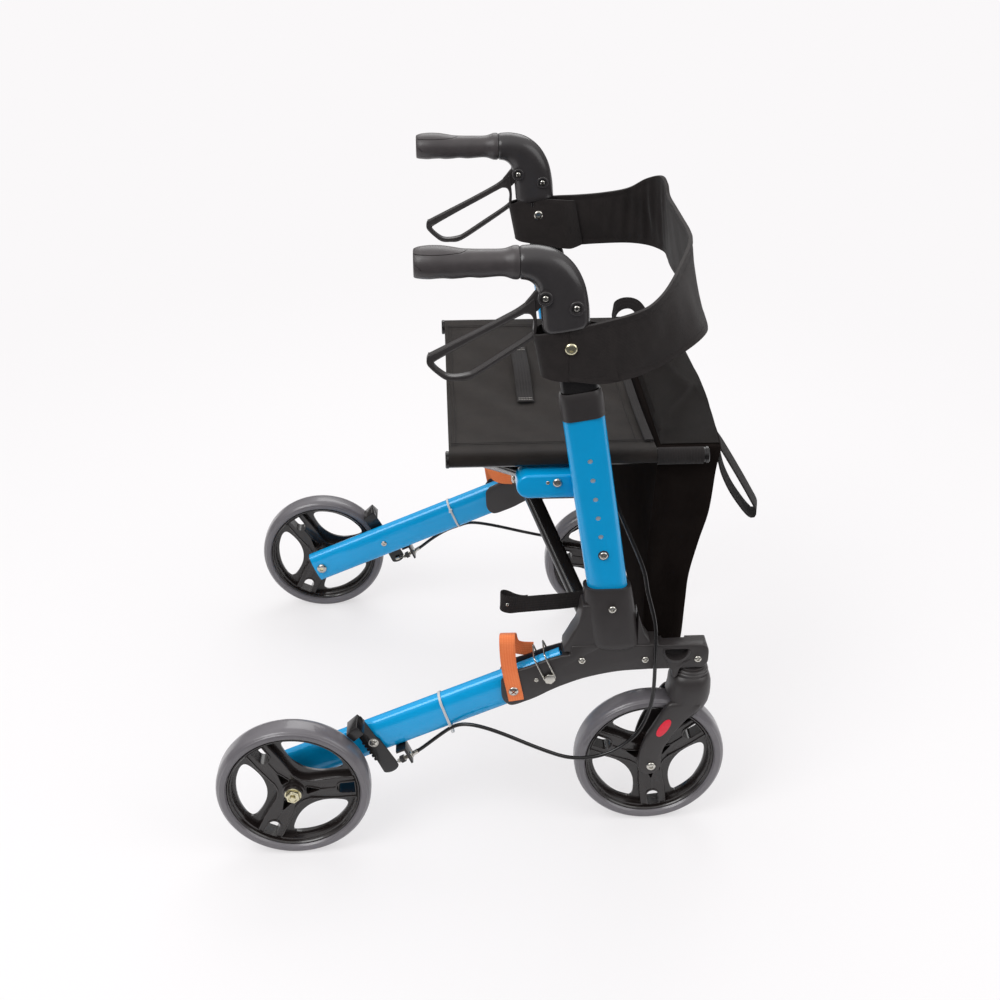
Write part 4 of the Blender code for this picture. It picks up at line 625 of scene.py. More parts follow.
def makePedals():
    end = legPoint(-(leg["length"] + leg["rear"]) - 0.0003, 0)
    rings = []
    for at, less in ((-0.0022, 0.002), (-0.0016, 0.0004), (0, 0.0004), (0, 0.0048), (0.007, 0.0048)):
        rings.append([end + legUp * p + across * q + legAlong * at
                      for p, q in superOval(tubeLong - less, tubeWide - less, crown)])
    cap = skinRings("cap", rings)
    side = [(-0.212, 0.109), (-0.2257, 0.106), (-0.233, 0.1016), (-0.2408, 0.0998), (-0.2555, 0.099), (-0.2666, 0.0945),
            (-0.2744, 0.088), (-0.279, 0.079), (-0.2775, 0.069), (-0.272, 0.065), (-0.26, 0.0665), (-0.2409, 0.0726),
            (-0.229, 0.0805), (-0.2195, 0.085), (-0.204, 0.079)]
    half = tubeWide / 2 - 0.002
    pedal = centredSolid("pedal", curvedOutline(side, 4), half)
    softenEdges(pedal, 0.0026, 3, 30)
    # tread ribs across the top
    reach = half - 0.0015
    for p in evenCurve([Vector((a, 0, b)) for a, b in side[2:8]], leg["treads"])[:-1]:
        weld(pedal, rod("tread", (p.x, sideY - reach, p.z), (p.x, sideY + reach, p.z), 0.001, 10))
    bothSides(weld(cap, pedal), "kerbPedal", castNylon, "leg", ["kerb_pedal"])


makePedals()


def makeAxles():
    hubIn, hubOut = rearWheelY - wheel["hubHalf"], rearWheelY + wheel["hubHalf"]

    def at(y):
        return Vector((rearAxle.x, y, rearAxle.z))
    parts = [rod("shaft", at(legIn - 0.003), at(hubOut + 0.0095), 0.0039),
             rod("thread", at(hubOut + 0.007), at(hubOut + 0.01), 0.0033, 16),
             turned("washer", [(0.0104, 0), (0.0108, 0.0004), (0.0108, 0.001), (0.01, 0.0016)], at(hubOut + 0.0003),
                    across), cutAway(hexNut("nut", at(hubOut + 0.0016), 0.0096, 0.0058, across, 0.35),
                                     rod("ring", at(hubOut + 0.0062), at(hubOut + 0.02), 0.006)),
             rod("shoulder", at(legIn - 0.002), at(legIn + 0.0005), 0.007)]
    bothSides(joinAll(parts), "rearAxle", yellowZinc, "leg", ["rear_axle"])
    pivot = legPoint(-leg["brakeAlong"], 0, legIn - 0.0002)
    heads = [buttonScrew("head", at(legIn - 0.001), 0.0078, (0, -1, 0), 0.0038),
             buttonScrew("pivotHead", pivot, 0.0046, (0, -1, 0), 0.0022)]
    bothSides(joinAll(heads), "innerHeads", brightZinc, "leg")
    spacer = turned("spacer", [(0.0042, 0), (0.0085, 0), (0.0085, hubIn - legOut - 0.0007),
                               (0.0042, hubIn - legOut - 0.0007)], at(legOut + 0.0003), across, ring=True)
    bothSides(spacer, "axleSpacer", castNylon, "leg")


makeAxles()
print("legs made")


def upPoint(along, y):
    p = upFoot + upAlong * along
    return Vector((p.x, y, p.z))


# A section set square to the upright, at a distance from its foot
def upRing(section, at):
    return [upFoot + upAcross * p + across * q + upAlong * at for p, q in section]


# Uprights with their height holes
upright = {"pitch": 0.026, "count": 6, "lowest": 0.0445, "hole": 0.0032, "inSocket": 0.084}


def makeUprights():
    ob = hollowTube("uprightTube", upFoot, upAcross, across, upAlong, (tubeLong, tubeWide), -upright["inSocket"],
                    upLength, tubeWall)
    discs = []
    for k in range(1, upright["count"]):
        at = upright["lowest"] + k * upright["pitch"]
        cutAway(ob, rod("hole", upPoint(at, legIn - 0.01), upPoint(at, legOut + 0.01), upright["hole"]))
        discs += [rod("disc", upPoint(at, y), upPoint(at, y + 0.0004), upright["hole"] - 0.0001)
                  for y in (legOut - 0.0016, legIn + 0.0012)]
    bothSides(ob, "uprightTube", bluePaint, "frame", ["upright_tube"])
    rings = [upRing(stadium(long, wide), upLength + 0.0003 + at)
             for long, wide, at in ((0.052, 0.026, 0), (0.052, 0.026, 0.02), (0.0516, 0.0256, 0.026),
                                    (0.05, 0.024, 0.0315), (0.0478, 0.0218, 0.034), (0.0453, 0.0193, 0.034),
                                    (0.0453, 0.0193, 0), (0.052, 0.026, 0))]
    bothSides(skinRings("collar", rings, fill=False), "uprightCollar", castNylon, "frame",
              ["upright_collar"])
    bothSides(joinAll(discs), "holeDiscs", plainZinc, "frame")
    bolt = buttonScrew("bolt", upPoint(upright["lowest"], legOut + 0.0012), 0.0053, across, 0.0021)
    ring = turned("ring", [(0.005, 0.0002), (0.0066, 0.0002), (0.0066, 0.001), (0.005, 0.001)],
                  upPoint(upright["lowest"], legOut - 0.0006), across, ring=True)
    bothSides(ring, "boltRing", castNylon, "handle")
    bothSides(bolt, "heightBolt", brightZinc, "handle", ["height_bolt"])


makeUprights()

# Lower castings
casting = {"edge": 0.0022, "column": 0.039, "lugs": (0.1521, 0.2767), "lugWidth": 0.009, "lugRound": 0.0115,
           "cup": (0.294, 0.2745), "cupRound": 0.0176,
           "screws": [(0.173, 0.264, 0.0048), (0.254, 0.263, 0.0048), (0.3215, 0.262, 0.0048)]}


def makeCastings():
    corners = [(0.07, 0.235), (0.0715, 0.209), (0.079, 0.1985), (0.087, 0.197), (0.101, 0.202), (0.116, 0.2085),
               (0.133, 0.218), (0.151, 0.2265), (0.18, 0.2372), (0.219, 0.2452), (0.259, 0.2475)]
    bottom = curvedOutline(corners)
    head = arcPoints((0.3225, 0.2605), 0.013, -90, 0, 8)
    head += curvedOutline([(0.3355, 0.2705), (0.3348, 0.2755), (0.3325, 0.2798), (0.3285, 0.2828), (0.322, 0.284)])
    top = [(0.279, 0.2846), (0.2735, 0.284), (0.266, 0.285), (0.25, 0.285), (0.166, 0.2865),
           (0.159, 0.286), (0.158, 0.272), (0.147, 0.2713), (0.128, 0.2655), (0.107, 0.256), (0.09, 0.2505),
           (0.076, 0.244)]
    plate = outlineSolid("plate", bottom + head + top, castIn, castOut)
    softenEdges(plate, casting["edge"], 3, 32)
    lug = [(castIn + 0.0034, 0.2573), (castIn + 0.0034, 0.2331)]
    lug += arcPoints((railY, pivotZ), casting["lugRound"], -90, -270, 16)
    for x in casting["lugs"]:
        weld(plate, slab("lug", lug, x, x + casting["lugWidth"]))
    # socket round the upright, whose foot bulges over the plate in a shallow curve
    rings = []
    for z, long, wide, drop in ((0.279, 0.058, 0.0335, 0.0035), (0.2812, 0.0618, 0.0376, 0.0035),
                                (0.284, 0.0636, 0.039, 0.0035), (0.29, 0.0636, 0.039, 0.002), (0.3, 0.0632, 0.039, 0),
                                (0.325, 0.0626, 0.0385, 0), (0.35, 0.0618, 0.035, 0), (0.361, 0.061, 0.0328, 0),
                                (0.3665, 0.0602, 0.0316, 0), (0.368, 0.059, 0.0306, 0)):
        mid = 0.2153 - tan(lean) * (z - 0.2877)
        rings.append([Vector((mid + p, sideY + q, z + drop * (2 * p / long) ** 2))
                      for p, q in superOval(long, wide, 3.2, 64)])
    column = skinRings("column", rings)
    wing = [(0.1492, 0.276), (0.1498, 0.2838), (0.1556, 0.2945), (0.1604, 0.3043), (0.165, 0.312), (0.1679, 0.32),
            (0.1695, 0.329), (0.1706, 0.3376), (0.1716, 0.345), (0.19, 0.345), (0.19, 0.276)]
    frontWing = [(0.243, 0.276), (0.264, 0.276), (0.259, 0.288), (0.252, 0.299), (0.247, 0.314), (0.243, 0.33)]
    for shape in (wing, frontWing):
        weld(column, softenEdges(centredSolid("wing", shape, 0.0148), 0.0024, 3, 40))
    weld(plate, column)
    # Y-shaped rib below the head, on both faces
    shape = [(0.277, 0.2655), (0.28, 0.2655), (0.285, 0.2625), (0.302, 0.2625), (0.309, 0.265), (0.305, 0.259),
             (0.299, 0.2555), (0.295, 0.251), (0.2925, 0.2405), (0.289, 0.2375), (0.2868, 0.2405), (0.2845, 0.25),
             (0.2805, 0.256)]
    rib = [(x + 0.0035, z - 0.0035) for x, z in shape]
    for face, sign in ((castOut, 1), (castIn, -1)):
        y0, y1 = sorted((face - 0.006 * sign, face + 0.0009 * sign))
        weld(plate, softenEdges(outlineSolid("rib", rib, y0, y1), 0.0006, 2, 40))
    # the folding leg's channel and the upright's socket
    reach = hypot(leg["front"], tubeLong / 2) + 0.0008
    channel = arcPoints((legPivot.x, legPivot.z), reach, -95, 82, 24)
    channel += [(0.12, 0.31), (0.05, 0.31), (0.05, 0.15), (0.12, 0.15)]
    cutAway(plate, centredSolid("channel", channel, 0.0124))
    cutAway(plate, skinRings("socket", [upRing(stadium(0.0506, 0.0246), at) for at in (-0.0843, 0.05)]))
    # round pocket in the head, with a rolled edge
    rim = arcPoints(casting["cup"], casting["cupRound"], 165, 365, 24)
    for y0, y1 in ((castOut - 0.004, castOut + 0.0012), (castIn - 0.0012, castIn + 0.004)):
        weld(plate, softenEdges(outlineSolid("cup", rim, y0, y1), 0.0009, 2, 50))
    pocket = arcPoints((0.2936, 0.2762), 0.0152, 172, 366, 20)
    for y0, y1 in ((castOut - 0.012, castOut + 0.01), (castIn - 0.01, castIn + 0.008)):
        cutAway(plate, softenEdges(outlineSolid("pocket", pocket, y0, y1), 0.001, 2, 60))
    slope = [(castOut + 0.01, 0.2863), (castIn - 0.01, 0.2742), (castIn - 0.01, 0.32), (castOut + 0.01, 0.32)]
    cutAway(plate, slab("slope", slope, 0.2712, 0.35))
    cutAway(plate, rod("stemBore", (stemX, sideY, 0.235), (stemX, sideY, 0.2755), 0.0064),
            boreAcross(legPivot.x, legPivot.z, 0.0043),
            rod("crossBore", (0.142, railY, pivotZ), (0.296, railY, pivotZ), 0.0063))
    bothSides(plate, "frameCasting", castNylon, "frame", ["frame_casting"], 32)
    screws = []
    for x, z, r in casting["screws"]:
        screws.append(buttonScrew("screw", (x, castOut, z), r, across))
        screws.append(buttonScrew("screw", (x, castIn, z), r * 0.9, (0, -1, 0)))
    screws.append(buttonScrew("screw", (0.2086, sideY + 0.0195, 0.3419), 0.005, across))
    screws.append(buttonScrew("screw", (0.1152, castOut, 0.236), 0.003, across, 0.0014))
    bothSides(joinAll(screws), "castingScrews", brightZinc, "frame")


makeCastings()


def makeFrameBolts():
    parts = [rod("shaft", (0.1515, railY, pivotZ), (0.2865, railY, pivotZ), 0.006),
             hexNut("head", (0.1517, railY, pivotZ), 0.0085, 0.0037, (-1, 0, 0)),
             hexNut("nut", (0.2863, railY, pivotZ), 0.0085, 0.0037, (1, 0, 0))]
    bothSides(joinAll(parts), "crossPivot", brightZinc, "frame", ["cross_pivot"])
    x, z = legPivot.x, legPivot.z
    parts = [rod("shaft", (x, castIn - 0.003, z), (x, castOut + 0.003, z), 0.0039),
             hexNut("head", (x, castOut + 0.0024, z), 0.0078, 0.0036, across, 0.2),
             hexNut("nut", (x, castIn - 0.0012, z), 0.0066, 0.0032, (0, -1, 0))]
    bothSides(joinAll(parts), "legPivotBolt", brightZinc, "frame", ["leg_pivot_bolt"])


makeFrameBolts()

# Wire latch and its orange pull strap
latch = {"wire": 0.0012, "height": 0.0345, "half": 0.007, "bend": 0.004, "strap": (0.02, 0.0016)}


def makeLatches():
    outY, inY = castOut + 0.0018, castIn - 0.0018

    def at(side, up, y):
        p = legPivot + legUp * up + legAlong * side
        return Vector((p.x, y, p.z))
    half, high, bend = latch["half"], latch["height"], latch["bend"]
    path = []
    for sign, here, there in ((1, outY, inY), (-1, inY, outY)):
        path += [at(-sign * half * cos(pi * k / 8), -half * sin(pi * k / 8), here) for k in range(9)]
        path.append(at(sign * half, high - bend, here))
        path += [at(sign * half, high - bend + bend * sin(radians(a)), here - sign * bend * (1 - cos(radians(a))))
                 for a in (30, 60, 90)]
        path += [at(sign * half, high - bend + bend * cos(radians(a)), there + sign * bend * (1 - sin(radians(a))))
                 for a in (0, 30, 60, 90)]
    bothSides(sweep("bail", path, roundSection(latch["wire"]), closed=True), "latchBail", brightZinc, "latch",
              ["latch_bail"], 60)


makeLatches()


def makeReleaseStraps():
    wide, thick = latch["strap"]
    out = castOut + thick / 2 + 0.0003
    route = [(0.0896, out, 0.206), (0.088, out, 0.216), (0.0825, out, 0.244), (0.0795, out, 0.264), (0.078, out, 0.283),
             (0.0776, out - 0.0008, 0.295), (0.078, out - 0.006, 0.3015), (0.0795, sideY, 0.2975),
             (0.0815, castIn + 0.004, 0.288), (0.0835, castIn - 0.0006, 0.276), (0.088, castIn - 0.0016, 0.267),
             (0.098, castIn - 0.0018, 0.2625), (0.113, castIn - 0.0018, 0.2612)]
    path = evenCurve(route, 0.002)
    wides = []
    for k, p in enumerate(path):
        t = heading(path, k)
        wides.append(t.cross(Vector((0, -1, 0))) if p.y < castIn + 0.002 else Vector((-1, 0, 0)))
    ob = sweep("strap", path, superOval(wide, thick, 6, 20), wide=wides)
    scaleUv(ob, 0.05, 0.13)
    bothSides(ob, "releaseStrap", orangeWebbing, "frame", ["release_strap"])
    screw = crossScrew("strapScrew", (0.086, castOut + 0.0021, 0.2207), 0.0064, across)
    bothSides(screw, "strapScrew", brightZinc, "frame")


makeReleaseStraps()
print("side frames made")

# Caster forks
fork = {"width": 0.054, "legs": 0.007, "edge": 0.0055, "foot": 0.0156, "gap": 0.003, "badge": (0.2817, 0.1614),
        "badgeTurn": 61,
        "crown": [(0.166, 0.2905, 0.043, 0.049), (0.175, 0.302, 0.05, 0.052), (0.185, 0.3078, 0.0575, 0.0536),
                  (0.195, 0.3119, 0.0586, 0.0546), (0.205, 0.3146, 0.0568, 0.055), (0.215, 0.3156, 0.0552, 0.0548),
                  (0.224, 0.3156, 0.0543, 0.0535), (0.23, 0.3157, 0.051, 0.0508), (0.2335, 0.316, 0.047, 0.047),
                  (0.235, 0.3162, 0.044, 0.044)]}


def makeForks():
    ax, az = frontAxle.x, frontAxle.z
    rear = [(0.3, 0.2), (0.29, 0.199), (0.2845, 0.195), (0.2782, 0.1844), (0.268, 0.164), (0.2593, 0.1463),
            (0.2535, 0.127), (0.2508, 0.111)]
    front = [(0.2808, 0.109), (0.2841, 0.1257), (0.2936, 0.1451), (0.3104, 0.1704), (0.3235, 0.1845), (0.329, 0.193),
             (0.326, 0.1985), (0.318, 0.2)]
    outline = curvedOutline(rear)
    outline += arcPoints((ax - 0.0018, az), fork["foot"], 172, 364, 16)
    outline += curvedOutline(front)
    half = fork["width"] / 2
    ob = centredSolid("fork", outline, half)
    softenEdges(ob, fork["edge"], 4, 38)
    bulb = skinRings("bulb", [[Vector((mid + p, sideY + q, z)) for p, q in superOval(long, wide, 2.6, 56)]
                              for z, mid, long, wide in fork["crown"]])
    neck = turned("neck", [(0.019, 0.225), (0.0226, 0.233), (0.0226, 0.2384), (0.0216, 0.2394), (0.0216, 0.2422),
                           (0.0206, 0.2434), (0.0185, 0.2437), (0.0185, 0.2466)], (stemX, sideY, 0), (0, 0, 1), 48)
    stem = rod("stem", (stemX, sideY, 0.235), (stemX, sideY, 0.2745), 0.006)
    weld(ob, bulb, neck, stem)
    slot = half - fork["legs"]
    near, far = wheelR + fork["gap"], wheelR + fork["gap"] + 0.0025
    cutter = turned("slot", [(0.075, -slot), (near, -slot), (far, -slot + 0.004), (far, slot - 0.004), (near, slot),
                             (0.075, slot)], (ax, sideY, az), across, 72)
    keep = turned("turning", [(0.0322, 0.233), (0.0622, 0.233), (0.0622, 0.25), (0.0322, 0.25)], (stemX, sideY, 0),
                  (0, 0, 1), 48, ring=True)
    low = centredSolid("between", [(0.19, 0.05), (0.345, 0.05), (0.345, 0.165), (0.19, 0.165)], slot)
    cutAway(ob, cutter, keep, low, boreAcross(ax, az, 0.0043))
    bothSides(ob, "casterFork", castNylon, "caster", ["caster_fork"], 32)
    # plain red oval let into each leg
    bx, bz = fork["badge"]
    badge = [(bx + p, bz + q) for p, q in spin(superOval(0.03, 0.0125, 2.2, 40), radians(fork["badgeTurn"]))]
    plate = softenEdges(outlineSolid("badge", badge, sideY + half - 0.002, sideY + half + 0.0006), 0.0005, 2, 50)
    bothSides(plate, "forkBadge", badgeRed, "caster")
    parts = [rod("shaft", (ax, sideY - half - 0.001, az), (ax, sideY + half + 0.001, az), 0.0039),
             buttonScrew("head", (ax, sideY + half + 0.0006, az), 0.0062, across, 0.0026),
             buttonScrew("foot", (ax, sideY - half - 0.0006, az), 0.0062, (0, -1, 0), 0.0026)]
    for y0, y1 in ((sideY - slot + 0.0003, sideY - 0.0173), (sideY + 0.0173, sideY + slot - 0.0003)):
        parts.append(rod("spacer", (ax, y0, az), (ax, y1, az), 0.0065))
    bothSides(joinAll(parts), "frontAxle", brightZinc, "caster", ["front_axle"])


makeForks()
print("casters made")

# Handles: a moulded elbow on the stem, with a rubber grip
handle = {"gripZ": 0.7865, "foot": 0.706, "width": 0.038, "pin": (0.119, 0.75), "clamp": (0.154, 0.738), "boss": 0.0086,
          "slot": 0.0059, "gripRear": -0.026, "gripFront": 0.0907}


def makeHandles():
    inner = [(0.091, 0.768), (0.101, 0.766), (0.108, 0.76), (0.111, 0.752), (0.113, 0.742), (0.115, 0.728),
             (0.117, 0.706)]
    outer = [(0.091, 0.805), (0.111, 0.8052), (0.132, 0.7995), (0.1505, 0.785), (0.163, 0.764), (0.169, 0.74),
             (0.1712, 0.7145)]
    halves = [0.0185, 0.0187, 0.019, 0.019, 0.019, 0.0188, 0.0182]
    inside, outside = smoothCurve(inner, 6), smoothCurve(outer, 6)
    widths = smoothCurve([(h, 0) for h in halves], 6)
    rings = []
    for k, (a, b, w) in enumerate(zip(inside, outside, widths)):
        power = 2.0 + 1.0 * k / (len(inside) - 1)
        mid, reach = (a + b) / 2, (b - a) / 2
        less = 0.0012 if k in (0, len(inside) - 1) else 0
        rings.append([Vector((mid.x, sideY, mid.y)) + Vector((reach.x, 0, reach.y)) * (p * (1 - less / reach.length))
                      + across * (q * (w.x - less)) for p, q in superOval(2, 2, power, 56)])
    ob = skinRings("handleBody", rings)
    softenEdges(ob, 0.0006, 2, 60)
    spigot = rod("spigot", (handle["gripRear"] + 0.011, sideY, handle["gripZ"]), (0.095, sideY, handle["gripZ"]),
                 0.0105, 32)
    px, pz = handle["pin"]
    cx, cz = handle["clamp"]
    half = handle["width"] / 2
    weld(ob, spigot)
    for x, z in ((px, pz), (cx, cz)):
        for y0, y1 in ((sideY + 0.01, sideY + half + 0.0014), (sideY - half - 0.0014, sideY - 0.01)):
            weld(ob, softenEdges(rod("boss", (x, y0, z), (x, y1, z), handle["boss"], 40), 0.0012, 3, 40))
    slot = [(0.085, 0.69), (0.13, 0.69), (0.131, 0.742), (0.13, 0.756), (0.124, 0.763), (0.085, 0.7672)]
    cutAway(ob, centredSolid("slot", slot, handle["slot"]))
    for x, z in ((px, pz), (cx, cz)):
        for y0, y1 in ((sideY + half - 0.001, sideY + half + 0.01), (sideY - half - 0.01, sideY - half + 0.001)):
            cutAway(ob, softenEdges(rod("bore", (x, y0, z), (x, y1, z), 0.0061, 32), 0.0003, 1, 60))
    cutAway(ob, boreAcross(px, pz, 0.0033))
    stemTop = (handle["foot"] + 0.014 - upZ) / cos(lean)
    cutAway(ob, skinRings("seat", [upRing(stadium(0.0451, 0.0191), at) for at in (stemTop - 0.012, stemTop + 0.0003)]))
    bothSides(ob, "handleBody", handleNylon, "handle", ["handle_body"], 40)
    parts = []
    for x, z in ((px, pz), (cx, cz)):
        parts.append(crossScrew("screw", (x, sideY + half - 0.0008, z), 0.0038, across, 0.0018))
        parts.append(crossScrew("screw", (x, sideY - half + 0.0008, z), 0.0038, (0, -1, 0), 0.0018))
    parts.append(rod("pin", (px, sideY - 0.015, pz), (px, sideY + 0.015, pz), 0.003))
    bothSides(joinAll(parts), "handleScrews", brightZinc, "handle", ["lever_pin"])
    stem = hollowTube("stem", upFoot, upAcross, across, upAlong, (0.0445, 0.0185), 0.0565, stemTop, 0.0018)
    bothSides(stem, "handleStem", blackSteel, "handle", ["handle_stem"])


makeHandles()


def makeGrips():
    rear, front, z = handle["gripRear"], handle["gripFront"], handle["gripZ"]
    # share of the length, height above the axis, depth below it, half width
    rows = [(0.0, 0.015, 0.014, 0.015), (0.012, 0.0168, 0.0152, 0.0168), (0.06, 0.0186, 0.016, 0.0192),
            (0.14, 0.0196, 0.0166, 0.0205), (0.2, 0.0197, 0.016, 0.0207), (0.28, 0.0192, 0.0157, 0.0203),
            (0.36, 0.0178, 0.0166, 0.019), (0.45, 0.016, 0.0162, 0.0172), (0.53, 0.0154, 0.0154, 0.016),
            (0.62, 0.0151, 0.0164, 0.0155), (0.71, 0.015, 0.0158, 0.0152), (0.8, 0.0149, 0.015, 0.015),
            (0.86, 0.0154, 0.0154, 0.0154), (0.91, 0.017, 0.0172, 0.017), (0.945, 0.0184, 0.0185, 0.0184),
            (0.985, 0.0186, 0.0186, 0.0186), (1.0, 0.0176, 0.0176, 0.0176)]
    heights = smoothCurve([r[:3] for r in rows], 4)
    widths = smoothCurve([(r[0], r[3]) for r in rows], 4)
    rings = []
    for s, w in zip(heights, widths):
        x = rear + (front - rear) * s.x
        rings.append([Vector((x, sideY + w.y * q, z + (s.y if p >= 0 else s.z) * p)) for q, p in superOval(2, 2, 2.15)])
    ob = skinRings("grip", rings)
    cutAway(ob, rod("bore", (rear + 0.0107, sideY, z), (front + 0.01, sideY, z), 0.0108, 32))
    # palm pad with a stepped edge, and the slanting seam near the end
    step = centredSolid("step", [(rear - 0.01, z + 0.0137), (0.026, z + 0.0137), (0.0335, z + 0.015),
                                 (0.0335, z + 0.0157), (0.026, z + 0.0144), (rear - 0.01, z + 0.0144)], 0.03)
    core = skinRings("core", [[Vector((p[0], sideY + (p[1] - sideY) * 0.955, z + (p[2] - z) * 0.93)) for p in ring]
                              for ring in rings])
    cutAway(ob, cutAway(step, core))
    for y in (sideY + 0.017, sideY - 0.017):
        seam = sweep("seam", [(rear + 0.0015, y, z + 0.004), (rear + 0.007, y + (0.0022 if y > sideY else -0.0022), z),
                              (rear + 0.0125, y, z - 0.0062)], roundSection(0.0009, 8))
        cutAway(ob, seam)
    bothSides(ob, "grip", gripRubber, "handle", ["grip"], 40)


makeGrips()

# Brake levers: a long loop on a pin in the handle
lever = {"thick": 0.009, "edge": 0.0011, "bead": 0.0009,
         "outer": [(0.106, 0.745), (0.1, 0.74), (0.09, 0.7325), (0.078, 0.7255), (0.0477, 0.7094), (-0.006, 0.6822),
                   (-0.0122, 0.6786), (-0.0142, 0.674), (-0.0138, 0.669), (-0.0109, 0.6645), (-0.003, 0.6566),
                   (0.0075, 0.649), (0.02, 0.6478), (0.0364, 0.6503), (0.0689, 0.6711), (0.1035, 0.695), (0.1085, 0.7),
                   (0.1106, 0.708), (0.111, 0.718), (0.11, 0.729), (0.1092, 0.74), (0.1082, 0.7445)],
         "hole": [(-0.0022, 0.6738), (0.0333, 0.6938), (0.0654, 0.711), (0.0925, 0.7256), (0.0985, 0.7276),
                  (0.104, 0.7262), (0.1072, 0.719), (0.1068, 0.708), (0.1035, 0.701), (0.0695, 0.678), (0.041, 0.6592),
                  (0.032, 0.6552), (0.02, 0.6532), (0.0105, 0.654), (0.003, 0.6585), (-0.004, 0.665),
                  (-0.0058, 0.6694)]}


def makeLevers():
    px, pz = handle["pin"]
    half = lever["thick"] / 2
    outer, hole = [curvedOutline(lever[key], closed=True) for key in ("outer", "hole")]
    loop = cutAway(centredSolid("loop", outer, half), centredSolid("hole", hole, 0.02))
    softenEdges(loop, 0.001, 3, 60)
    root = arcPoints((px, pz), 0.0085, -70, 130, 16) + [(0.108, 0.752), (0.103, 0.7455), (0.0975, 0.739), (0.1, 0.731),
                                                        (0.107, 0.729), (0.111, 0.73)]
    arm = softenEdges(centredSolid("root", root, half - 0.0006), 0.0008, 2, 40)
    parts = [cutAway(weld(loop, arm), boreAcross(px, pz, 0.0034))]
    # raised beads along the edges of both faces
    for y in (sideY + half - lever["bead"] / 2, sideY - half + lever["bead"] / 2):
        for line, inset in ((outer, -lever["edge"]), (hole, lever["edge"])):
            parts.append(sweep("bead", [Vector((x, y, z)) for x, z in grown(line, inset)],
                               roundSection(lever["bead"], 8), closed=True))
    ob = joinAll(parts)
    bothSides(ob, "brakeLever", leverNylon, "lever", ["brake_lever"])


makeLevers()
print("handles made")

# Brakes: a swinging plate with a shoe over the tyre, and the cable's stop under the leg
brake = {"angle": radians(43), "gap": 0.003, "block": 0.019, "half": 0.007, "plate": 0.003, "narrow": 0.0098,
         "wide": 0.0118, "teeth": 6, "pitch": 0.006}
barrelAlong = legAlong * cos(radians(8)) + legUp * sin(radians(8))
stopCentre = Vector((-0.0561, 0.2665, 0.1116))


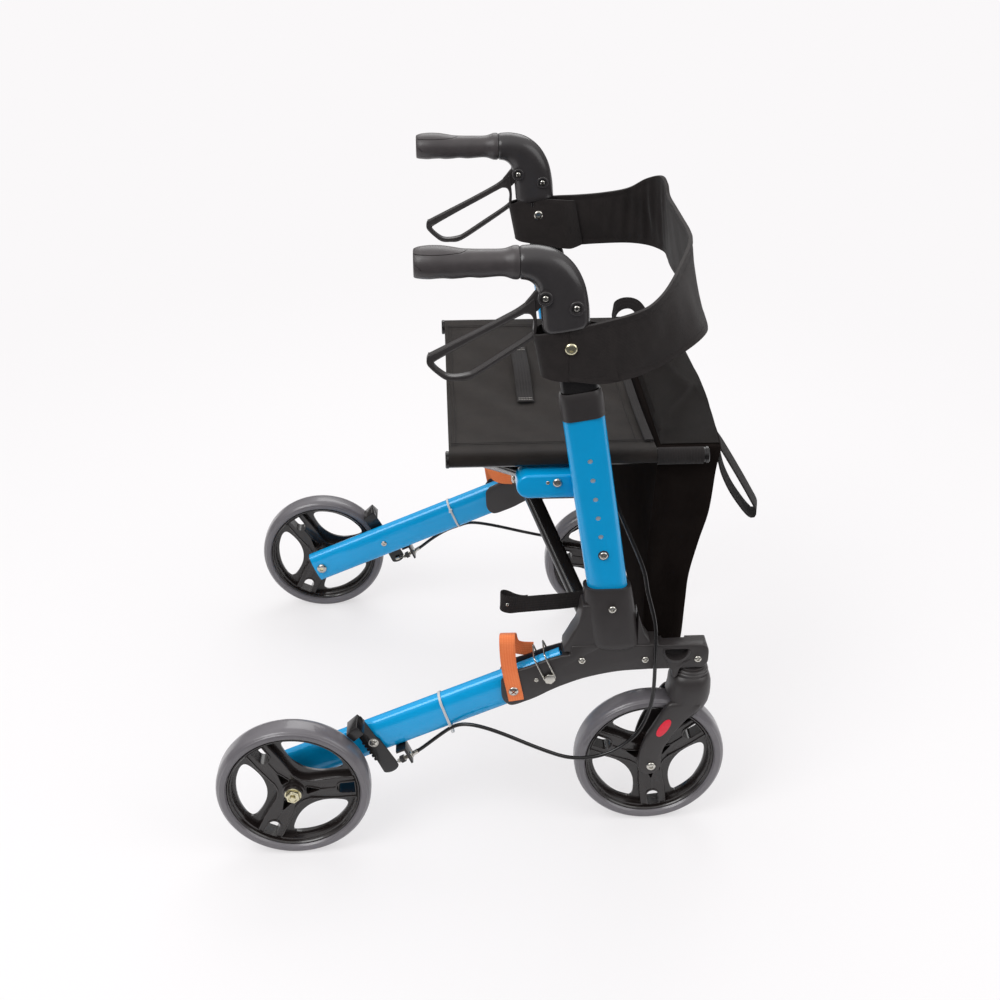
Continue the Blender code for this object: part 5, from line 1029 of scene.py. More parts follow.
def makeBrakes():
    pivot = legPivot - legAlong * leg["brakeAlong"]
    y0 = legOut + 0.0012
    y1 = y0 + brake["plate"]
    out = Vector((cos(brake["angle"]), 0, sin(brake["angle"])))
    along = Vector((-out.z, 0, out.x))
    foot = rearAxle + out * (wheelR + brake["gap"])
    corners = [foot - along * brake["half"], foot + out * brake["block"] - along * brake["half"],
               foot + out * brake["block"] + along * brake["half"], foot + along * brake["half"]]
    shoe = softenEdges(outlineSolid("shoe", flat(corners), y0, rearWheelY - 0.004), 0.001, 3, 40)
    low = pivot + Vector((0.02, 0, -0.041))
    top = foot + out * brake["block"] * 0.5
    bar = (low - top).normalized()
    side = Vector((-bar.z, 0, bar.x))
    half, lowHalf = brake["narrow"], brake["wide"]
    length = (low - top).length
    # the edge towards the wheel is toothed below the pivot, and the foot is rounded
    edge = [top - bar * 0.004 - side * half, top + bar * 0.034 - side * half]
    for k in range(brake["teeth"]):
        at = 0.033 + brake["pitch"] * k
        edge += [top + bar * (at + a) - side * (lowHalf - b)
                 for a, b in ((0, 0.0003), (0.0028, 0.0003), (0.0036, 0.0026), (0.0052, 0.0026))]
    edge = [p for p in edge if (p - top).dot(bar) < length + 0.001]
    edge += [low + bar * (0.001 + lowHalf * 0.62 * cos(a)) + side * lowHalf * sin(a)
             for a in [radians(-70 + 20 * k) for k in range(8)]]
    edge += [low - bar * 0.004 + side * lowHalf, top + bar * 0.04 + side * lowHalf, top + bar * 0.034 + side * half,
             top - bar * 0.004 + side * half]
    plate = softenEdges(outlineSolid("plate", flat(edge), y0, y1), 0.0005, 2, 40)
    pin = rod("pin", (pivot.x, legIn + 0.008, pivot.z), (pivot.x, y1, pivot.z), 0.003)
    bothSides(weld(plate, shoe, pin), "brakeArm", blackSteel, "brake", ["brake_arm"])
    parts = [turned("washer", [(0.0035, 0), (0.0066, 0), (0.0066, 0.0008), (0.0035, 0.0008)],
                    (pivot.x, y1 + 0.0001, pivot.z), across, ring=True),
             crossScrew("bolt", (pivot.x, y1 + 0.0007, pivot.z), 0.0056, across, 0.0024)]
    bothSides(joinAll(parts), "brakeBolt", brightZinc, "brake")
    # stop bracket with its threaded adjuster
    stop = -(leg["brakeAlong"] - 0.03)
    topV = -tubeLong / 2 - 0.0003
    spots = [legPoint(stop - 0.01, topV), legPoint(stop + 0.004, topV), legPoint(stop + 0.004, topV - 0.0255),
             legPoint(stop + 0.001, topV - 0.0255), legPoint(stop + 0.001, topV - 0.003),
             legPoint(stop - 0.01, topV - 0.003)]
    bracket = softenEdges(outlineSolid("bracket", flat(spots), sideY - 0.004, y1 + 0.002), 0.0005, 2, 40)
    centre, tilt = stopCentre, barrelAlong
    thread = [(0.0028, -0.011)]
    for k in range(22):
        thread += [(0.0028, -0.0108 + 0.001 * k), (0.0032, -0.0104 + 0.001 * k)]
    thread += [(0.0028, 0.0118), (0.0026, 0.012)]
    barrel = turned("barrel", thread, centre, tilt, 16)
    bothSides(joinAll([barrel, hexNut("nut", centre + tilt * 0.0078, 0.0052, 0.0034, tilt)]), "cableAdjuster",
              brightZinc, "leg")
    bothSides(bracket, "cableStop", blackSteel, "leg", ["cable_stop"])
    knurl = [roundSection(0.005 if k % 2 else 0.0046, 40)[k] for k in range(40)]
    nut = sweep("knurl", [centre - tilt * 0.0065, centre - tilt * 0.001], knurl)
    bothSides(nut, "adjusterNut", castNylon, "leg")
    # bare inner wire from the adjuster to the plate
    wireEnd = Vector((low.x, y0 - 0.0022, low.z)) + bar * 0.001
    wire = sweep("wire", [centre - tilt * 0.01, wireEnd], roundSection(0.0007, 8))
    clamp = turned("clamp", [(0.0014, -0.0035), (0.0026, -0.003), (0.0026, 0.003), (0.0014, 0.0035)], wireEnd,
                   (wireEnd - centre), 16)
    bothSides(joinAll([wire, clamp]), "brakeWire", brightZinc, "leg")


makeBrakes()

# Brake cables
cable = {"radius": 0.0025, "spacing": 0.004, "smoothing": 10,
         # from the handle round the caster, up to where the two sides differ
         "upper": [(0.2483, 0.26, 0.3876), (0.2528, 0.264, 0.3608), (0.2582, 0.268, 0.3426), (0.2636, 0.274, 0.3195),
                   (0.2652, 0.278, 0.3011), (0.2652, 0.283, 0.268), (0.2656, 0.284, 0.2347), (0.264, 0.286, 0.2072),
                   (0.2573, 0.288, 0.1803), (0.2476, 0.29, 0.1596), (0.2324, 0.2915, 0.1438), (0.2119, 0.292, 0.1302),
                   (0.1858, 0.292, 0.1224)],
         "Right": [(0.1595, 0.292, 0.1234), (0.1463, 0.292, 0.1273), (0.1135, 0.2905, 0.1418), (0.0704, 0.286, 0.1616),
                   (0.0403, 0.28, 0.1702), (0.0189, 0.274, 0.1698), (0.0058, 0.27, 0.1623), (-0.0163, 0.268, 0.1427)],
         "Left": [(0.1629, 0.284, 0.131), (0.1297, 0.27, 0.1471), (0.0858, 0.262, 0.1636), (0.0566, 0.262, 0.1698),
                  (0.0384, 0.262, 0.1708), (0.0274, 0.262, 0.1651), (0.0091, 0.262, 0.1593), (-0.0168, 0.264, 0.142)]}


def cableRoute(side):
    innerY = sideY - handle["width"] / 2 + 0.0035
    end = stopCentre + barrelAlong * 0.0123
    route = [(0.14, innerY, 0.7088)]
    for share, step, y in ((0.9336, -0.0115, 0.2466), (0.7676, -0.012, 0.2464), (0.5602, -0.0078, innerY - 0.0026),
                           (0.3527, 0.0044, innerY - 0.001), (0.1867, 0.0171, innerY), (0.0, 0.0281, 0.2465)):
        z = 0.465 + (handle["foot"] - 0.465) * share
        route.append((upX - tan(lean) * (z - upZ) + step, y, z))
    return route + cable["upper"] + cable[side] + [end + barrelAlong * step for step in (0.008, 0)]


def makeCables():
    for side in ("Left", "Right"):
        path = evenCurve(cableRoute(side), cable["spacing"])
        for turn in range(cable["smoothing"]):
            path[1:-1] = [(a + b * 2 + c) / 4 for a, b, c in zip(path, path[1:], path[2:])]
        ob = sweep("cable", path, roundSection(cable["radius"], 14))
        ferrule = sweep("ferrule", [path[-1], path[-3]], roundSection(cable["radius"] + 0.0006, 14))
        if side == "Right":
            mirror(ob)
            mirror(ferrule)
        finishPiece(ob, "brakeCable" + side, cablePlastic, "frame_" + side.lower(),
                    ["brake_cable_" + side.lower()], 60)
        finishPiece(ferrule, "cableFerrule" + side, brightZinc, "leg_" + side.lower())


makeCables()

# Nylon ties that hold the cables to the legs: upper end, lower end
ties = {"Right": ((-0.01, 0.2072), (0.0056, 0.1596)), "Left": ((0.0081, 0.2147), (0.0271, 0.1686))}


def makeTies():
    for side, (upper, lower) in ties.items():
        sign = 1 if side == "Left" else -1
        a, b = Vector((upper[0], 0, upper[1])), Vector((lower[0], 0, lower[1]))
        down = (b - a).normalized()
        middle = (a + b) / 2
        # round the tube and the cable under its outer edge
        long = tubeLong / 2 / abs(down.dot(legUp)) + 0.0008
        loop = [middle + down * p + across * (sign * (sideY + q)) for p, q in stadium(2 * long, tubeWide + 0.0016, 10)]
        loop = [p for p in loop if not ((p - middle).dot(down) > long - 0.0085 and sign * p.y > sideY + 0.002)]
        at = max(range(len(loop)), key=lambda k: (loop[k] - middle).dot(down))
        outer = [middle + down * (long + d) + across * (sign * (sideY + q))
                 for q, d in ((0.006, 0.005), (0.0095, 0.0072), (0.0125, 0.0055), (0.014, 0.0015))]
        if sign * loop[(at + 1) % len(loop)].y > sideY:
            loop[at + 1:at + 1] = outer
        else:
            loop[at:at] = outer[::-1]
        wide = down.cross(across)
        strap = sweep("tie", evenCurve(loop, 0.0016, closed=True), superOval(0.0034, 0.001, 5, 16), wide=wide,
                      closed=True)
        spot = middle - down * 0.012 + across * (sign * (sideY - tubeWide / 2 - 0.0022))
        head = softenEdges(outlineSolid("head", [(-0.0026, -0.0032), (0.0026, -0.0032), (0.0026, 0.0032),
                                                 (-0.0026, 0.0032)], -0.0018, 0.0018), 0.0005)
        head.data.transform(Matrix.Translation(spot))
        finishPiece(joinAll([strap, head]), "cableTie" + side, tieNylon, "leg_" + side.lower(),
                    smooth=50)


makeTies()
print("brakes and cables made")

# Seat rail arms, scissor frames and rails
cross = {"lowX": 0.205, "topX": 0.025, "step": 0.026, "section": (0.022, 0.018), "rail": 0.321, "cap": 0.004}


def makeArms():
    top = railZ - railR - 0.002 - 0.0006
    r = 0.0155
    outline = arcPoints((0.09 + r, top - r), r, 90, 270, 20) + [(0.184, top - 2 * r), (0.184, top)]
    arm = softenEdges(outlineSolid("arm", outline, railY - 0.012, legIn - 0.0003), 0.003, 3, 40)
    bothSides(arm, "seatRailArm", bluePaint, "frame", ["seat_rail_arm"])
    bolt = buttonScrew("armBolt", (0.14, railY - 0.012, top - r), 0.0052, (0, -1, 0), 0.0028)
    x, z = 0.1395, 0.505
    outer = [buttonScrew("outerBolt", (x, legIn - 0.0004, z), 0.0058, across, 0.0028),
             buttonScrew("rivet", (x - 0.0115, legIn - 0.0004, z), 0.0024, across, 0.001)]
    bothSides(joinAll([bolt] + outer), "armBolt", brightZinc, "frame")


makeArms()


def makeCrossFrames():
    for name, footSide, step, on in (("A", -1, 0.0, "cross_a"), ("B", 1, cross["step"], "cross_b")):
        foot = Vector((cross["lowX"] + step, footSide * railY, pivotZ))
        top = Vector((cross["topX"] + step, -footSide * railY, railZ))
        w = (top - foot).normalized()
        u = (Vector((1, 0, 0)) - w * w.x).normalized()
        v = w.cross(u)
        length = (top - foot).length
        tube = skinRings("tube", [[foot + u * p + v * q + w * at for p, q in superOval(*cross["section"], 2.6)]
                                  for at in (0.002, length - 0.002)])
        sleeve = rod("sleeve", (0.1613, foot.y, foot.z), (0.2767, foot.y, foot.z), 0.011, 32)
        long, cap, proud = cross["rail"], cross["cap"], railR + 0.0008
        rail = turned("rail", [(railR - 0.0004, 0), (proud, 0.001), (proud, cap), (railR, cap + 0.0002),
                               (railR, long - cap - 0.0002), (proud, long - cap), (proud, long - 0.001),
                               (railR - 0.0004, long)], (0.005, top.y, top.z), (1, 0, 0), 40)
        ob = weld(tube, sleeve, rail)
        centre = foot.lerp(top, 0.5)
        cutAway(ob, rod("bore", (0.15, foot.y, foot.z), (0.29, foot.y, foot.z), 0.0064),
                rod("bore", (centre.x - 0.03, 0, centre.z), (centre.x + 0.03, 0, centre.z), 0.0044))
        finishPiece(ob, "crossFrame" + name, blackSteel, on, ["cross_frame_" + name.lower()])
    mid = (cross["lowX"] + cross["topX"] + cross["step"]) / 2
    z = (pivotZ + railZ) / 2
    parts = [rod("bolt", (mid - 0.0275, 0, z), (mid + 0.0275, 0, z), 0.0039),
             buttonScrew("head", (mid - 0.0275, 0, z), 0.007, (-1, 0, 0), 0.003),
             hexNut("nut", (mid + 0.027, 0, z), 0.007, 0.0035, (1, 0, 0))]
    finishPiece(joinAll(parts), "centrePivotBolt", brightZinc, "cross_a", ["centre_pivot_bolt"])


makeCrossFrames()

# Seat: ribbed cloth wrapped over both rails
seat = {"rear": 0.0093, "front": 0.262, "thick": 0.0014, "sag": 0.012, "columns": 64,
        "strapX": 0.113, "strapWide": 0.022, "strapFrom": -0.058, "strapLong": 0.188, "strapRise": 0.0072}


def seatHeight(y):
    return railZ + railR + 0.0003 - seat["sag"] * (1 - (y / railY) ** 2)


def stitchRow(name, path, spacing=0.0036, radius=0.00042):
    fine = evenCurve(path, spacing / 4)
    sizes = [(1, 1) if k % 4 in (0, 1, 2) else (0.15, 0.15) for k in range(len(fine))]
    return sweep(name, fine, roundSection(radius, 5), sizes=sizes)


def makeSeat():
    r = railR + 0.0003
    wrap = arcPoints((railY, railZ), r, -27, 81, 12)
    middle = [(railY * (1 - 2 * k / 60), seatHeight(railY * (1 - 2 * k / 60))) for k in range(61)]
    inner = wrap + middle + [(-y, z) for y, z in reversed(wrap)]
    columns = seat["columns"]
    rings = []
    for k, (y, z) in enumerate(inner):
        row = []
        for j in range(columns + 1):
            x = seat["rear"] + (seat["front"] - seat["rear"]) * j / columns
            # slack between the hems: slight lengthwise waves and a dip at the edges
            free = max(0.0, 1 - (y / (railY - 0.006)) ** 2) if abs(y) < railY - 0.006 else 0.0
            wave = 0.0011 * sin(2 * pi * j / columns * 2.3 + y * 21) * free + 0.0007 * sin(y * 60 + j * 0.35) * free
            edge = -0.0016 * free * exp(-min(j, columns - j) / 2.0)
            row.append(Vector((x, y, z + wave + edge)))
        rings.append(row)
    ob = skinRings("seat", rings, loop=False)
    scaleUv(ob, seat["front"] - seat["rear"], 0.5)
    pick(ob)
    solid = ob.modifiers.new("thickness", "SOLIDIFY")
    solid.thickness = -seat["thick"]
    solid.offset = 1
    bpy.ops.object.modifier_apply(modifier=solid.name)
    return finishPiece(ob, "seatFabric", seatCloth, "cross_a", ["seat_fabric"], 50)


seatPiece = makeSeat()


def seatTop(y):
    return seatHeight(y) + seat["thick"]


# How far the pull strap arches above the seat
def strapRise(y):
    return seat["strapRise"] * sin(pi * (y - seat["strapFrom"]) / seat["strapLong"]) ** 2


def makeSeatTrim():
    trims = []
    for x in (seat["rear"] + 0.004, seat["rear"] + 0.009, seat["front"] - 0.004, seat["front"] - 0.022):
        trims.append(stitchRow("stitch", [(x, y, seatTop(y) + 0.0004)
                                          for y in [0.205 - 0.41 * k / 20 for k in range(21)]]))
    for y in (0.196, 0.201, -0.196, -0.201):
        trims.append(stitchRow("stitch", [(x, y, seatTop(y) + 0.0004)
                                          for x in (seat["rear"] + 0.003, 0.1, 0.18, seat["front"] - 0.003)]))
    ob = joinAll(trims)
    finishPiece(ob, "seatStitches", blackWebbing, "cross_a", smooth=60)
    # pull strap sewn down at both ends
    x = seat["strapX"]
    path = []
    for k in range(41):
        y = seat["strapFrom"] + seat["strapLong"] * k / 40
        path.append((x, y, seatTop(y) + 0.0009 + strapRise(y)))
    strap = sweep("strap", path, superOval(seat["strapWide"], 0.0018, 6, 20), wide=(1, 0, 0))
    scaleUv(strap, 0.046, 0.19)
    finishPiece(strap, "pullStrap", blackWebbing, "cross_a", smooth=60)
    rows = []
    for y in (0.114, 0.12, -0.048, -0.053):
        rows.append(stitchRow("thread", [(at, y, seatTop(y) + 0.0022 + strapRise(y))
                                         for at in (x - 0.009, x, x + 0.009)], 0.0034, 0.0005))
    thread = joinAll(rows)
    finishPiece(thread, "strapThread", paleThread, "cross_a", smooth=60)
    # binding tape along the front edge
    tape = [(seat["front"] - 0.0062, y, seatTop(y) + 0.001) for y in [0.2 - 0.4 * k / 40 for k in range(41)]]
    binding = sweep("tape", tape, superOval(0.0115, 0.0026, 4, 20), wide=(1, 0, 0))
    scaleUv(binding, 0.026, 0.4)
    finishPiece(binding, "frontTape", blackWebbing, "cross_a", smooth=60)
    return [ob, strap, thread, binding]


seatTrim = makeSeatTrim()

# Backrest band between the handle stems
band = {"thick": 0.004,
        # upper edge and lower edge from the left handle round the front to the right one
        "edges": [((0.148, 0.2702, 0.7065), (0.148, 0.2702, 0.643)), ((0.1742, 0.2702, 0.71), (0.1742, 0.2702, 0.633)),
                  ((0.2086, 0.269, 0.7115), (0.2105, 0.269, 0.6365)), ((0.245, 0.2665, 0.715), (0.248, 0.2665, 0.6392)),
                  ((0.28, 0.26, 0.723), (0.2866, 0.261, 0.6411)), ((0.304, 0.247, 0.74), (0.316, 0.248, 0.6405)),
                  ((0.322, 0.225, 0.7498), (0.334, 0.223, 0.6388)), ((0.3262, 0.198, 0.746), (0.335, 0.195, 0.6384)),
                  ((0.3249, 0.166, 0.7378), (0.3325, 0.16, 0.641)), ((0.3255, 0.115, 0.737), (0.328, 0.11, 0.65)),
                  ((0.3261, 0.06, 0.7372), (0.327, 0.055, 0.656)), ((0.3255, 0.005, 0.7385), (0.3285, 0.0, 0.66)),
                  ((0.3194, -0.048, 0.743), (0.33, -0.058, 0.662)), ((0.306, -0.098, 0.744), (0.329, -0.112, 0.664)),
                  ((0.29, -0.148, 0.743), (0.324, -0.16, 0.668)), ((0.274, -0.196, 0.7425), (0.314, -0.198, 0.673)),
                  ((0.257, -0.234, 0.7385), (0.296, -0.225, 0.671)), ((0.239, -0.257, 0.7325), (0.272, -0.243, 0.664)),
                  ((0.219, -0.267, 0.7275), (0.245, -0.256, 0.655)), ((0.198, -0.2698, 0.7225), (0.216, -0.265, 0.648)),
                  ((0.173, -0.2702, 0.7165), (0.183, -0.2696, 0.6445)),
                  ((0.148, -0.2702, 0.711), (0.148, -0.2702, 0.649))]}


def makeBand():
    upper = smoothCurve([a for a, b in band["edges"]], 16)
    lower = smoothCurve([b for a, b in band["edges"]], 16)
    rows = [0, 0.02, 0.05, 0.085, 0.1, 0.13] + [0.13 + 0.74 * k / 12 for k in range(1, 12)] + [0.87, 0.9, 0.915, 0.95,
                                                                                               0.98, 1]
    rings = []
    for k, (a, b) in enumerate(zip(upper, lower)):
        t = (heading(upper, k) + heading(lower, k)).normalized()
        n = (b - a).cross(t).normalized()
        share = k / (len(upper) - 1)
        ringOut, ringIn = [], []
        for r in rows:
            # bound edges stand a little proud, with a stitched valley behind
            hem = 0.0005 if r < 0.06 or r > 0.94 else (-0.0004 if r < 0.11 or r > 0.89 else 0.0)
            middle = sin(pi * r)
            near = exp(-((share - 0.215) / 0.075) ** 2)
            slack = (0.002 * sin(150 * share + 1.5 * r) + 0.0013 * sin(263 * share - 2.2 * r)
                     + 0.002 * sin(41 * share + 5 * r)) * middle ** 0.6 * near
            small = 0.0005 * sin(90 * share + 9 * r) * middle
            base = b.lerp(a, r) + n * (slack + small)
            ringOut.append(base + n * (band["thick"] / 2 + hem))
            ringIn.append(base - n * (band["thick"] / 2 + hem))
        rings.append(ringOut + ringIn[::-1])
    ob = skinRings("band", rings)
    scaleUv(ob, 0.14, 0.9)
    return finishPiece(ob, "backrestBand", bandCloth, "handle_right", ["backrest_band"], 60)


bandPiece = makeBand()


# Pockets that fold round the handles' stems, open above and below
sleeve = {"lift": 0.0095, "lean": 0.2,
          # x, y, wall, upper and lower end
          "rows": [(0.2, 0.2695, 0.0016, 0.7095, 0.6375), (0.185, 0.2697, 0.003, 0.71, 0.6395),
                   (0.15, 0.2697, 0.0034, 0.7095, 0.645), (0.13, 0.2697, 0.0034, 0.7065, 0.6485),
                   (0.119, 0.268, 0.0032, 0.7045, 0.651), (0.114, 0.264, 0.0026, 0.7035, 0.652),
                   (0.1126, 0.2565, 0.0024, 0.7035, 0.652), (0.114, 0.25, 0.0024, 0.7045, 0.6515),
                   (0.119, 0.245, 0.0022, 0.7065, 0.65), (0.13, 0.2432, 0.002, 0.71, 0.648),
                   (0.15, 0.243, 0.002, 0.712, 0.6455), (0.17, 0.2432, 0.002, 0.7125, 0.641),
                   (0.188, 0.2465, 0.002, 0.7105, 0.6372), (0.2, 0.254, 0.002, 0.7075, 0.638),
                   (0.209, 0.263, 0.0018, 0.7055, 0.6392)]}


def makePocket(lift):
    line = smoothCurve([(x, y, 0) for x, y, wall, top, low in sleeve["rows"]], 4)
    ends = smoothCurve([(wall, top, low + lift * min(1.0, max(0.0, (x - 0.14) / 0.04)))
                        for x, y, wall, top, low in sleeve["rows"]], 4)
    rings = []
    for k, (p, e) in enumerate(zip(line, ends)):
        t = heading(line, k).normalized()
        n = Vector((-t.y, t.x, 0)) * (e.x / 2)
        faces = []
        for way in (1, -1):
            face = []
            for j in range(13):
                z = e.z + (e.y - e.z) * j / 12
                hem = 1.25 if j in (0, 12) else 1.0
                face.append(p + n * (way * hem) + Vector((-sleeve["lean"] * (z - 0.675),
                                                          0.0007 * sin(9 * j + 0.4 * k) * (k > 36), z)))
            faces.append(face)
        rings.append(faces[0] + faces[1][::-1])
    ob = skinRings("sleeve", rings)
    return scaleUv(ob, 0.14, 0.2)


def makeSleeves():
    finishPiece(makePocket(0), "bandSleeveLeft", bandCloth, "handle_left", smooth=50)
    finishPiece(mirror(makePocket(sleeve["lift"])), "bandSleeveRight", bandCloth, "handle_right",
                smooth=50)
    bolt = buttonScrew("bandBolt", (0.1493, 0.2722, 0.6884), 0.0074, across, 0.0034)
    bothSides(bolt, "bandBolt", yellowZinc, "handle")
    nut = buttonScrew("bandNut", (0.1489, 0.2422, 0.69), 0.0068, (0, -1, 0), 0.003)
    bothSides(nut, "bandNut", brightZinc, "handle")


makeSleeves()
print("seat and backrest made")

# Bag hung between the front ends of the rails
bag = {"half": railY - railR - 0.0011, "bulge": 0.01,
       # height, front, rear, extra half width
       "levels": [(0.225, 0.312, 0.268, -0.014), (0.24, 0.32, 0.262, -0.008), (0.3, 0.322, 0.26, -0.007),
                  (0.345, 0.324, 0.26, -0.006), (0.395, 0.334, 0.261, -0.006), (0.44, 0.344, 0.263, -0.004),
                  (0.5, 0.348, 0.266, 0.0), (0.527, 0.352, 0.266, 0.0), (0.533, 0.348, 0.27, -0.003)]}


def bagFront(level, y):
    z, front, less = level[0], level[1], level[3]
    half = bag["half"] + less
    fold = 0.003 * cos(3.2 * pi * y / half) * (1 - z / 0.533)
    return front - bag["bulge"] + 0.002 + bag["bulge"] * (1 - (y / half) ** 2) + fold


# One creased side, from its first edge to its last
def bagSide(first, last, way, half, z, fall):
    out = []
    for k in range(1, 8):
        share = k / 8
        pull = -0.006 * sin(pi * share) * (0.3 + 0.7 * sin(pi * (1 - fall)))
        crease = 0.0025 * sin(2 * pi * share + 14 * z) * fall
        out.append(Vector((first + (last - first) * share, way * (half + pull - crease), z)))
    return out


def makeBag():
    fine = smoothCurve([level[:3] for level in bag["levels"]], 6)
    halves = smoothCurve([(bag["half"] + level[3], 0) for level in bag["levels"]], 6)
    rings = []
    for (z, front, rear), width in zip(fine, halves):
        half = width.x
        fall = 1 - (z - 0.225) / 0.308
        corner = front - bag["bulge"] + 0.002
        spots = [half * (1 - 2 * k / 48) * 0.985 for k in range(49)]
        face = []
        for y in spots:
            x = bagFront((z, front, rear, half - bag["half"]), y)
            slack = 0.0034 * sin(30 * y + 4 * z) * (0.3 + 0.7 * fall) * (1 - (y / half) ** 4)
            ripple = 0.0016 * sin(66 * y - 12 * z) * (0.2 + 0.8 * fall)
            face.append(Vector((x + (slack + ripple), y, z)))
        back = [Vector((rear + 0.0012 * sin(40 * -y + 9 * z) * fall, -y, z)) for y in spots]
        rings.append(face + bagSide(corner, rear, -1, half, z, fall) + back + bagSide(rear, corner, 1, half, z, fall))
    ob = skinRings("bag", rings)
    scaleUv(ob, 0.95, 0.31)
    return finishPiece(ob, "bag", bagCloth, "frame_right", ["bag"], 60)


bagPiece = makeBag()


# Loose cloth gathered at the top
def makeBagTop():
    rings = []
    half = bag["half"] - 0.006
    for k in range(81):
        share = k / 80
        y = half * (1 - 2 * share)
        front, rear = bagFront(bag["levels"][7], y) - 0.003, bag["levels"][7][2] + 0.004
        ends = min(1.0, 12 * share, 12 * (1 - share))
        over, under = [], []
        for j in range(17):
            s = j / 16
            x = front + (rear - front) * s
            ridge = 0.55 * (1 - abs(sin(19 * y + 2.6 * s + 0.5))) + 0.45 * (1 - abs(sin(9 * y - 3.4 * s + 1.1)))
            rise = 0.016 * ridge ** 1.3 * sin(pi * min(1.0, s + 0.06)) * ends
            z = 0.5348 + rise + 0.004 * ends * exp(-((s - 0.93) / 0.05) ** 2)
            over.append(Vector((x, y, z)))
            under.append(Vector((x, y, 0.5285)))
        rings.append(over + under[::-1])
    ob = skinRings("top", rings)
    scaleUv(ob, 0.2, 0.42)
    return finishPiece(ob, "bagTop", bagLining, "frame_right", smooth=45)


bagTop = makeBagTop()


def makeBagLoop():
    y, thick = -0.16, 0.0024
    start = bagFront(bag["levels"][6], y + 0.012) + thick / 2 + 0.0024
    loop = [(start - 0.001, 0.52), (0.356, 0.508), (0.3777, 0.4726), (0.397, 0.4395), (0.406, 0.4225), (0.4055, 0.4135),
            (0.4, 0.412), (0.39, 0.422), (0.372, 0.448), (0.359, 0.474), (0.3525, 0.495), (start + 0.0005, 0.503)]
    path = evenCurve([(x, y, z) for x, z in loop], 0.003)
    ob = sweep("loop", path, superOval(0.024, thick, 6, 20), wide=(0.25, 1, 0.15))
    scaleUv(ob, 0.052, 0.2)
    return finishPiece(ob, "bagLoop", blackWebbing, "frame_right", ["bag_handle"], 60)


loopPiece = makeBagLoop()


def makeFoldStrap():
    t = 0.0016
    y, z = -(sideY - casting["column"] / 2 - 0.0003 - t / 2), 0.332
    route = [(0.212, y, z + 0.003), (0.19, y, z + 0.0025), (0.1755, y, z + 0.0018), (0.15, y, z - 0.001),
             (0.119, y, z - 0.0031), (0.095, y, z - 0.0048), (0.084, y - 0.0036, z - 0.003),
             (0.076, y - 0.0052, z + 0.001), (0.0716, y - 0.002, z + 0.003), (0.0728, y + 0.004, z + 0.003),
             (0.08, y + 0.0066, z), (0.09, y + 0.0044, z - 0.003), (0.1, y + 0.0021, z - 0.004),
             (0.107, y + 0.0021, z - 0.0035)]
    ob = sweep("strap", evenCurve(route, 0.002), superOval(0.0235, t, 6, 20), wide=(0, 0, 1))
    scaleUv(ob, 0.053, 0.17)
    finishPiece(ob, "foldStrap", blackWebbing, "frame_right", ["fold_strap"], 60)
    snap = buttonScrew("snap", (0.0795, y - 0.005, 0.331), 0.0024, (0, -1, 0), 0.0016)
    finishPiece(snap, "foldStrapSnap", brightZinc, "frame_right")


makeFoldStrap()


def makeRailTapes():
    for name, side, on in (("Left", 1, "cross_a"), ("Right", -1, "cross_b")):
        line = arcPoints((0, 0), railR + 0.0014, -60, 90, 15)
        rings = []
        for x in (0.2626, 0.275, 0.295, 0.319):
            outer = [Vector((x, side * (railY + a), railZ + b)) for a, b in line]
            inner = [Vector((x, side * (railY + a * 0.93), railZ + b * 0.93)) for a, b in line]
            rings.append(outer + inner[::-1])
        ob = skinRings("tape", rings)
        scaleUv(ob, 0.06, 0.06)
        finishPiece(ob, "railTape" + name, blackWebbing, on, smooth=50)
    arch = evenCurve([(0.258, 0.186, 0.537), (0.259, 0.196, 0.55), (0.265, 0.212, 0.558), (0.278, 0.22, 0.561),
                      (0.292, 0.219, 0.559), (0.301, 0.212, 0.55), (0.304, 0.206, 0.537)], 0.003)
    ob = sweep("arch", arch, superOval(0.017, 0.002, 6, 20), wide=(0, 0.5, 1))
    scaleUv(ob, 0.03, 0.09)
    finishPiece(ob, "farStrapArch", blackWebbing, "cross_a", smooth=60)


makeRailTapes()
print("bag and straps made")

# The seat and its trim are taken off their body and fixed where they stand; the band, bag, bag top and loop get meshes
# of their own
for piece in [seatPiece] + seatTrim:
    piece.parent = None
    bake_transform(piece)
# each cable is taken off its body and fixed where it stands
for side, y in (("Left", sideY), ("Right", -sideY)):
    piece = bpy.data.objects["brakeCable" + side]
    piece.parent = None
    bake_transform(piece)
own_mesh(bandPiece)
for piece in (bagPiece, loopPiece, bagTop):
    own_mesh(piece)

# Pale floor, soft light and the camera
studio = {"floor": "#ECEBEC", "paper": "#FAF8F9", "shadow": 0.36, "low": 0.1, "high": 1.12, "beyond": "#55565A",
          "edge": (-0.9, -0.58), "camera": (-0.055, -1.731, 1.279), "tilt": 61.84, "turn": -2.7, "lens": 50.08,
          "aim": (0, 0, 0.35),
          # name, place, size and power of each lamp
          "lamps": [("keyLight", (-1.6, -1.6, 2.6), 1.6, 42), ("fillLight", (2.2, -1.2, 1.8), 1.8, 18),
                    ("backLight", (0.3, 2.4, 2.6), 2.2, 34)]}


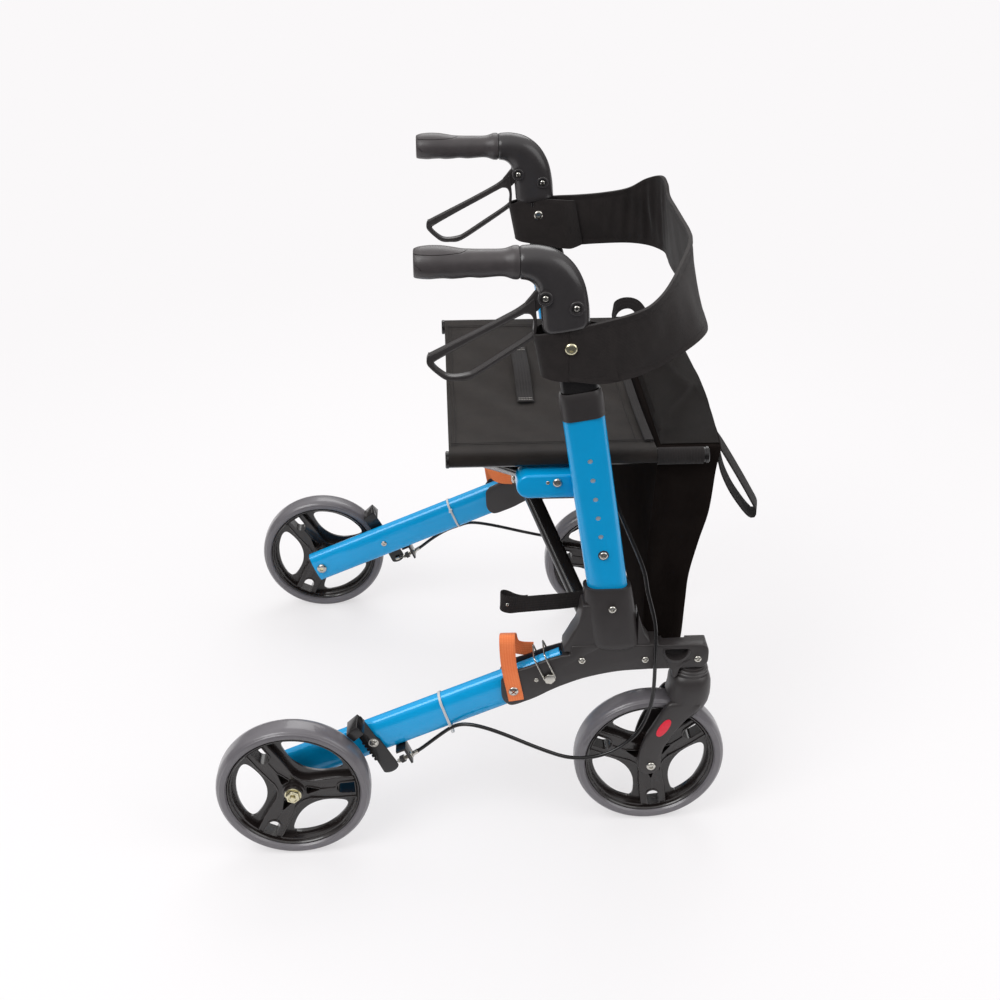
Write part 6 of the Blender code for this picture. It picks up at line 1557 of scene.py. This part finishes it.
def makeStudio():
    deselectAll()
    bpy.ops.mesh.primitive_plane_add(size=14, location=(0, 0, 0))
    floor = bpy.context.object
    floor.name = "floor"
    mat, tree, shader = startMaterial("paleFloor",
                                      {"Base Color": shade(studio["floor"]), "Roughness": 0.85,
                                       "Specular IOR Level": 0.1})
    # the camera sees most of the floor as plain paper, with a share of its light and shade near the object
    where = addNode(tree, "TexCoord").outputs["Object"]
    reach = addNode(tree, "VectorMath", {"operation": "LENGTH"}, {0: where})
    share = addNode(tree, "MapRange", {"interpolation_type": "SMOOTHSTEP"},
                    {"Value": reach.outputs["Value"], "From Min": 0.5, "From Max": 2.2, "To Min": 1 - studio["shadow"],
                     "To Max": 1.0})
    path = addNode(tree, "LightPath")
    seen = addNode(tree, "Math", {"operation": "MULTIPLY"}, {0: share.outputs[0], 1: path.outputs["Is Camera Ray"]})
    paper = addNode(tree, "Emission", None, {"Color": shade(studio["paper"]), "Strength": 1.0})
    # reflections see the paper end in front of the object, where the camera does not look
    spot = addNode(tree, "SeparateXYZ", None, {0: where})
    far, near = studio["edge"]
    beyond = addNode(tree, "MapRange", {"interpolation_type": "SMOOTHSTEP"},
                     {"Value": spot.outputs[1], "From Min": far, "From Max": near, "To Min": 1.0, "To Max": 0.0})
    unseen = addNode(tree, "Math", {"operation": "SUBTRACT"}, {0: 1.0, 1: path.outputs["Is Camera Ray"]})
    dim = addNode(tree, "Math", {"operation": "MULTIPLY"}, {0: beyond.outputs[0], 1: unseen.outputs[0]})
    tone = addNode(tree, "Mix", {"data_type": "RGBA"},
                   {0: dim.outputs[0], 6: shade(studio["floor"]), 7: shade(studio["beyond"])})
    tree.links.new(tone.outputs[2], shader.inputs["Base Color"])
    both = addNode(tree, "MixShader", None, {0: seen.outputs[0], 1: shader.outputs[0], 2: paper.outputs[0]})
    tree.links.new(both.outputs[0], tree.nodes["Material Output"].inputs["Surface"])
    floor.data.materials.append(mat)
    world = bpy.data.worlds.new("studio")
    bpy.context.scene.world = world
    world.use_nodes = True
    tree = world.node_tree
    back = tree.nodes["Background"]
    # light from above, darker towards the horizon
    way = addNode(tree, "SeparateXYZ", None, {0: addNode(tree, "TexCoord").outputs["Generated"]})
    glow = addNode(tree, "MapRange", {"interpolation_type": "SMOOTHSTEP"},
                   {"Value": way.outputs[2], "From Min": 0.0, "From Max": 0.9, "To Min": studio["low"],
                    "To Max": studio["high"]})
    back.inputs["Color"].default_value = shade("#F6F5F5")
    tree.links.new(glow.outputs[0], back.inputs["Strength"])
    white = addNode(tree, "Background", None, {"Color": shade(studio["paper"]), "Strength": 1.0})
    path = addNode(tree, "LightPath")
    mix = addNode(tree, "MixShader", None, {0: path.outputs["Is Camera Ray"], 1: back.outputs[0], 2: white.outputs[0]})
    tree.links.new(mix.outputs[0], tree.nodes["World Output"].inputs["Surface"])
    for name, spot, size, power in studio["lamps"]:
        lamp = bpy.data.lights.new(name, "AREA")
        lamp.shape = "SQUARE"
        lamp.size = size
        lamp.energy = power
        ob = bpy.data.objects.new(name, lamp)
        bpy.context.scene.collection.objects.link(ob)
        ob.location = spot
        ob.rotation_euler = (Vector(studio["aim"]) - Vector(spot)).to_track_quat("-Z", "Y").to_euler()
    camera = bpy.data.objects.new("camera", bpy.data.cameras.new("camera"))
    bpy.context.scene.collection.objects.link(camera)
    camera.location = studio["camera"]
    camera.rotation_euler = (radians(studio["tilt"]), 0, radians(studio["turn"]))
    camera.data.lens = studio["lens"]
    camera.data.sensor_width = 36
    bpy.context.scene.camera = camera
    bpy.context.scene.view_settings.view_transform = "Standard"


makeStudio()
print("studio made")
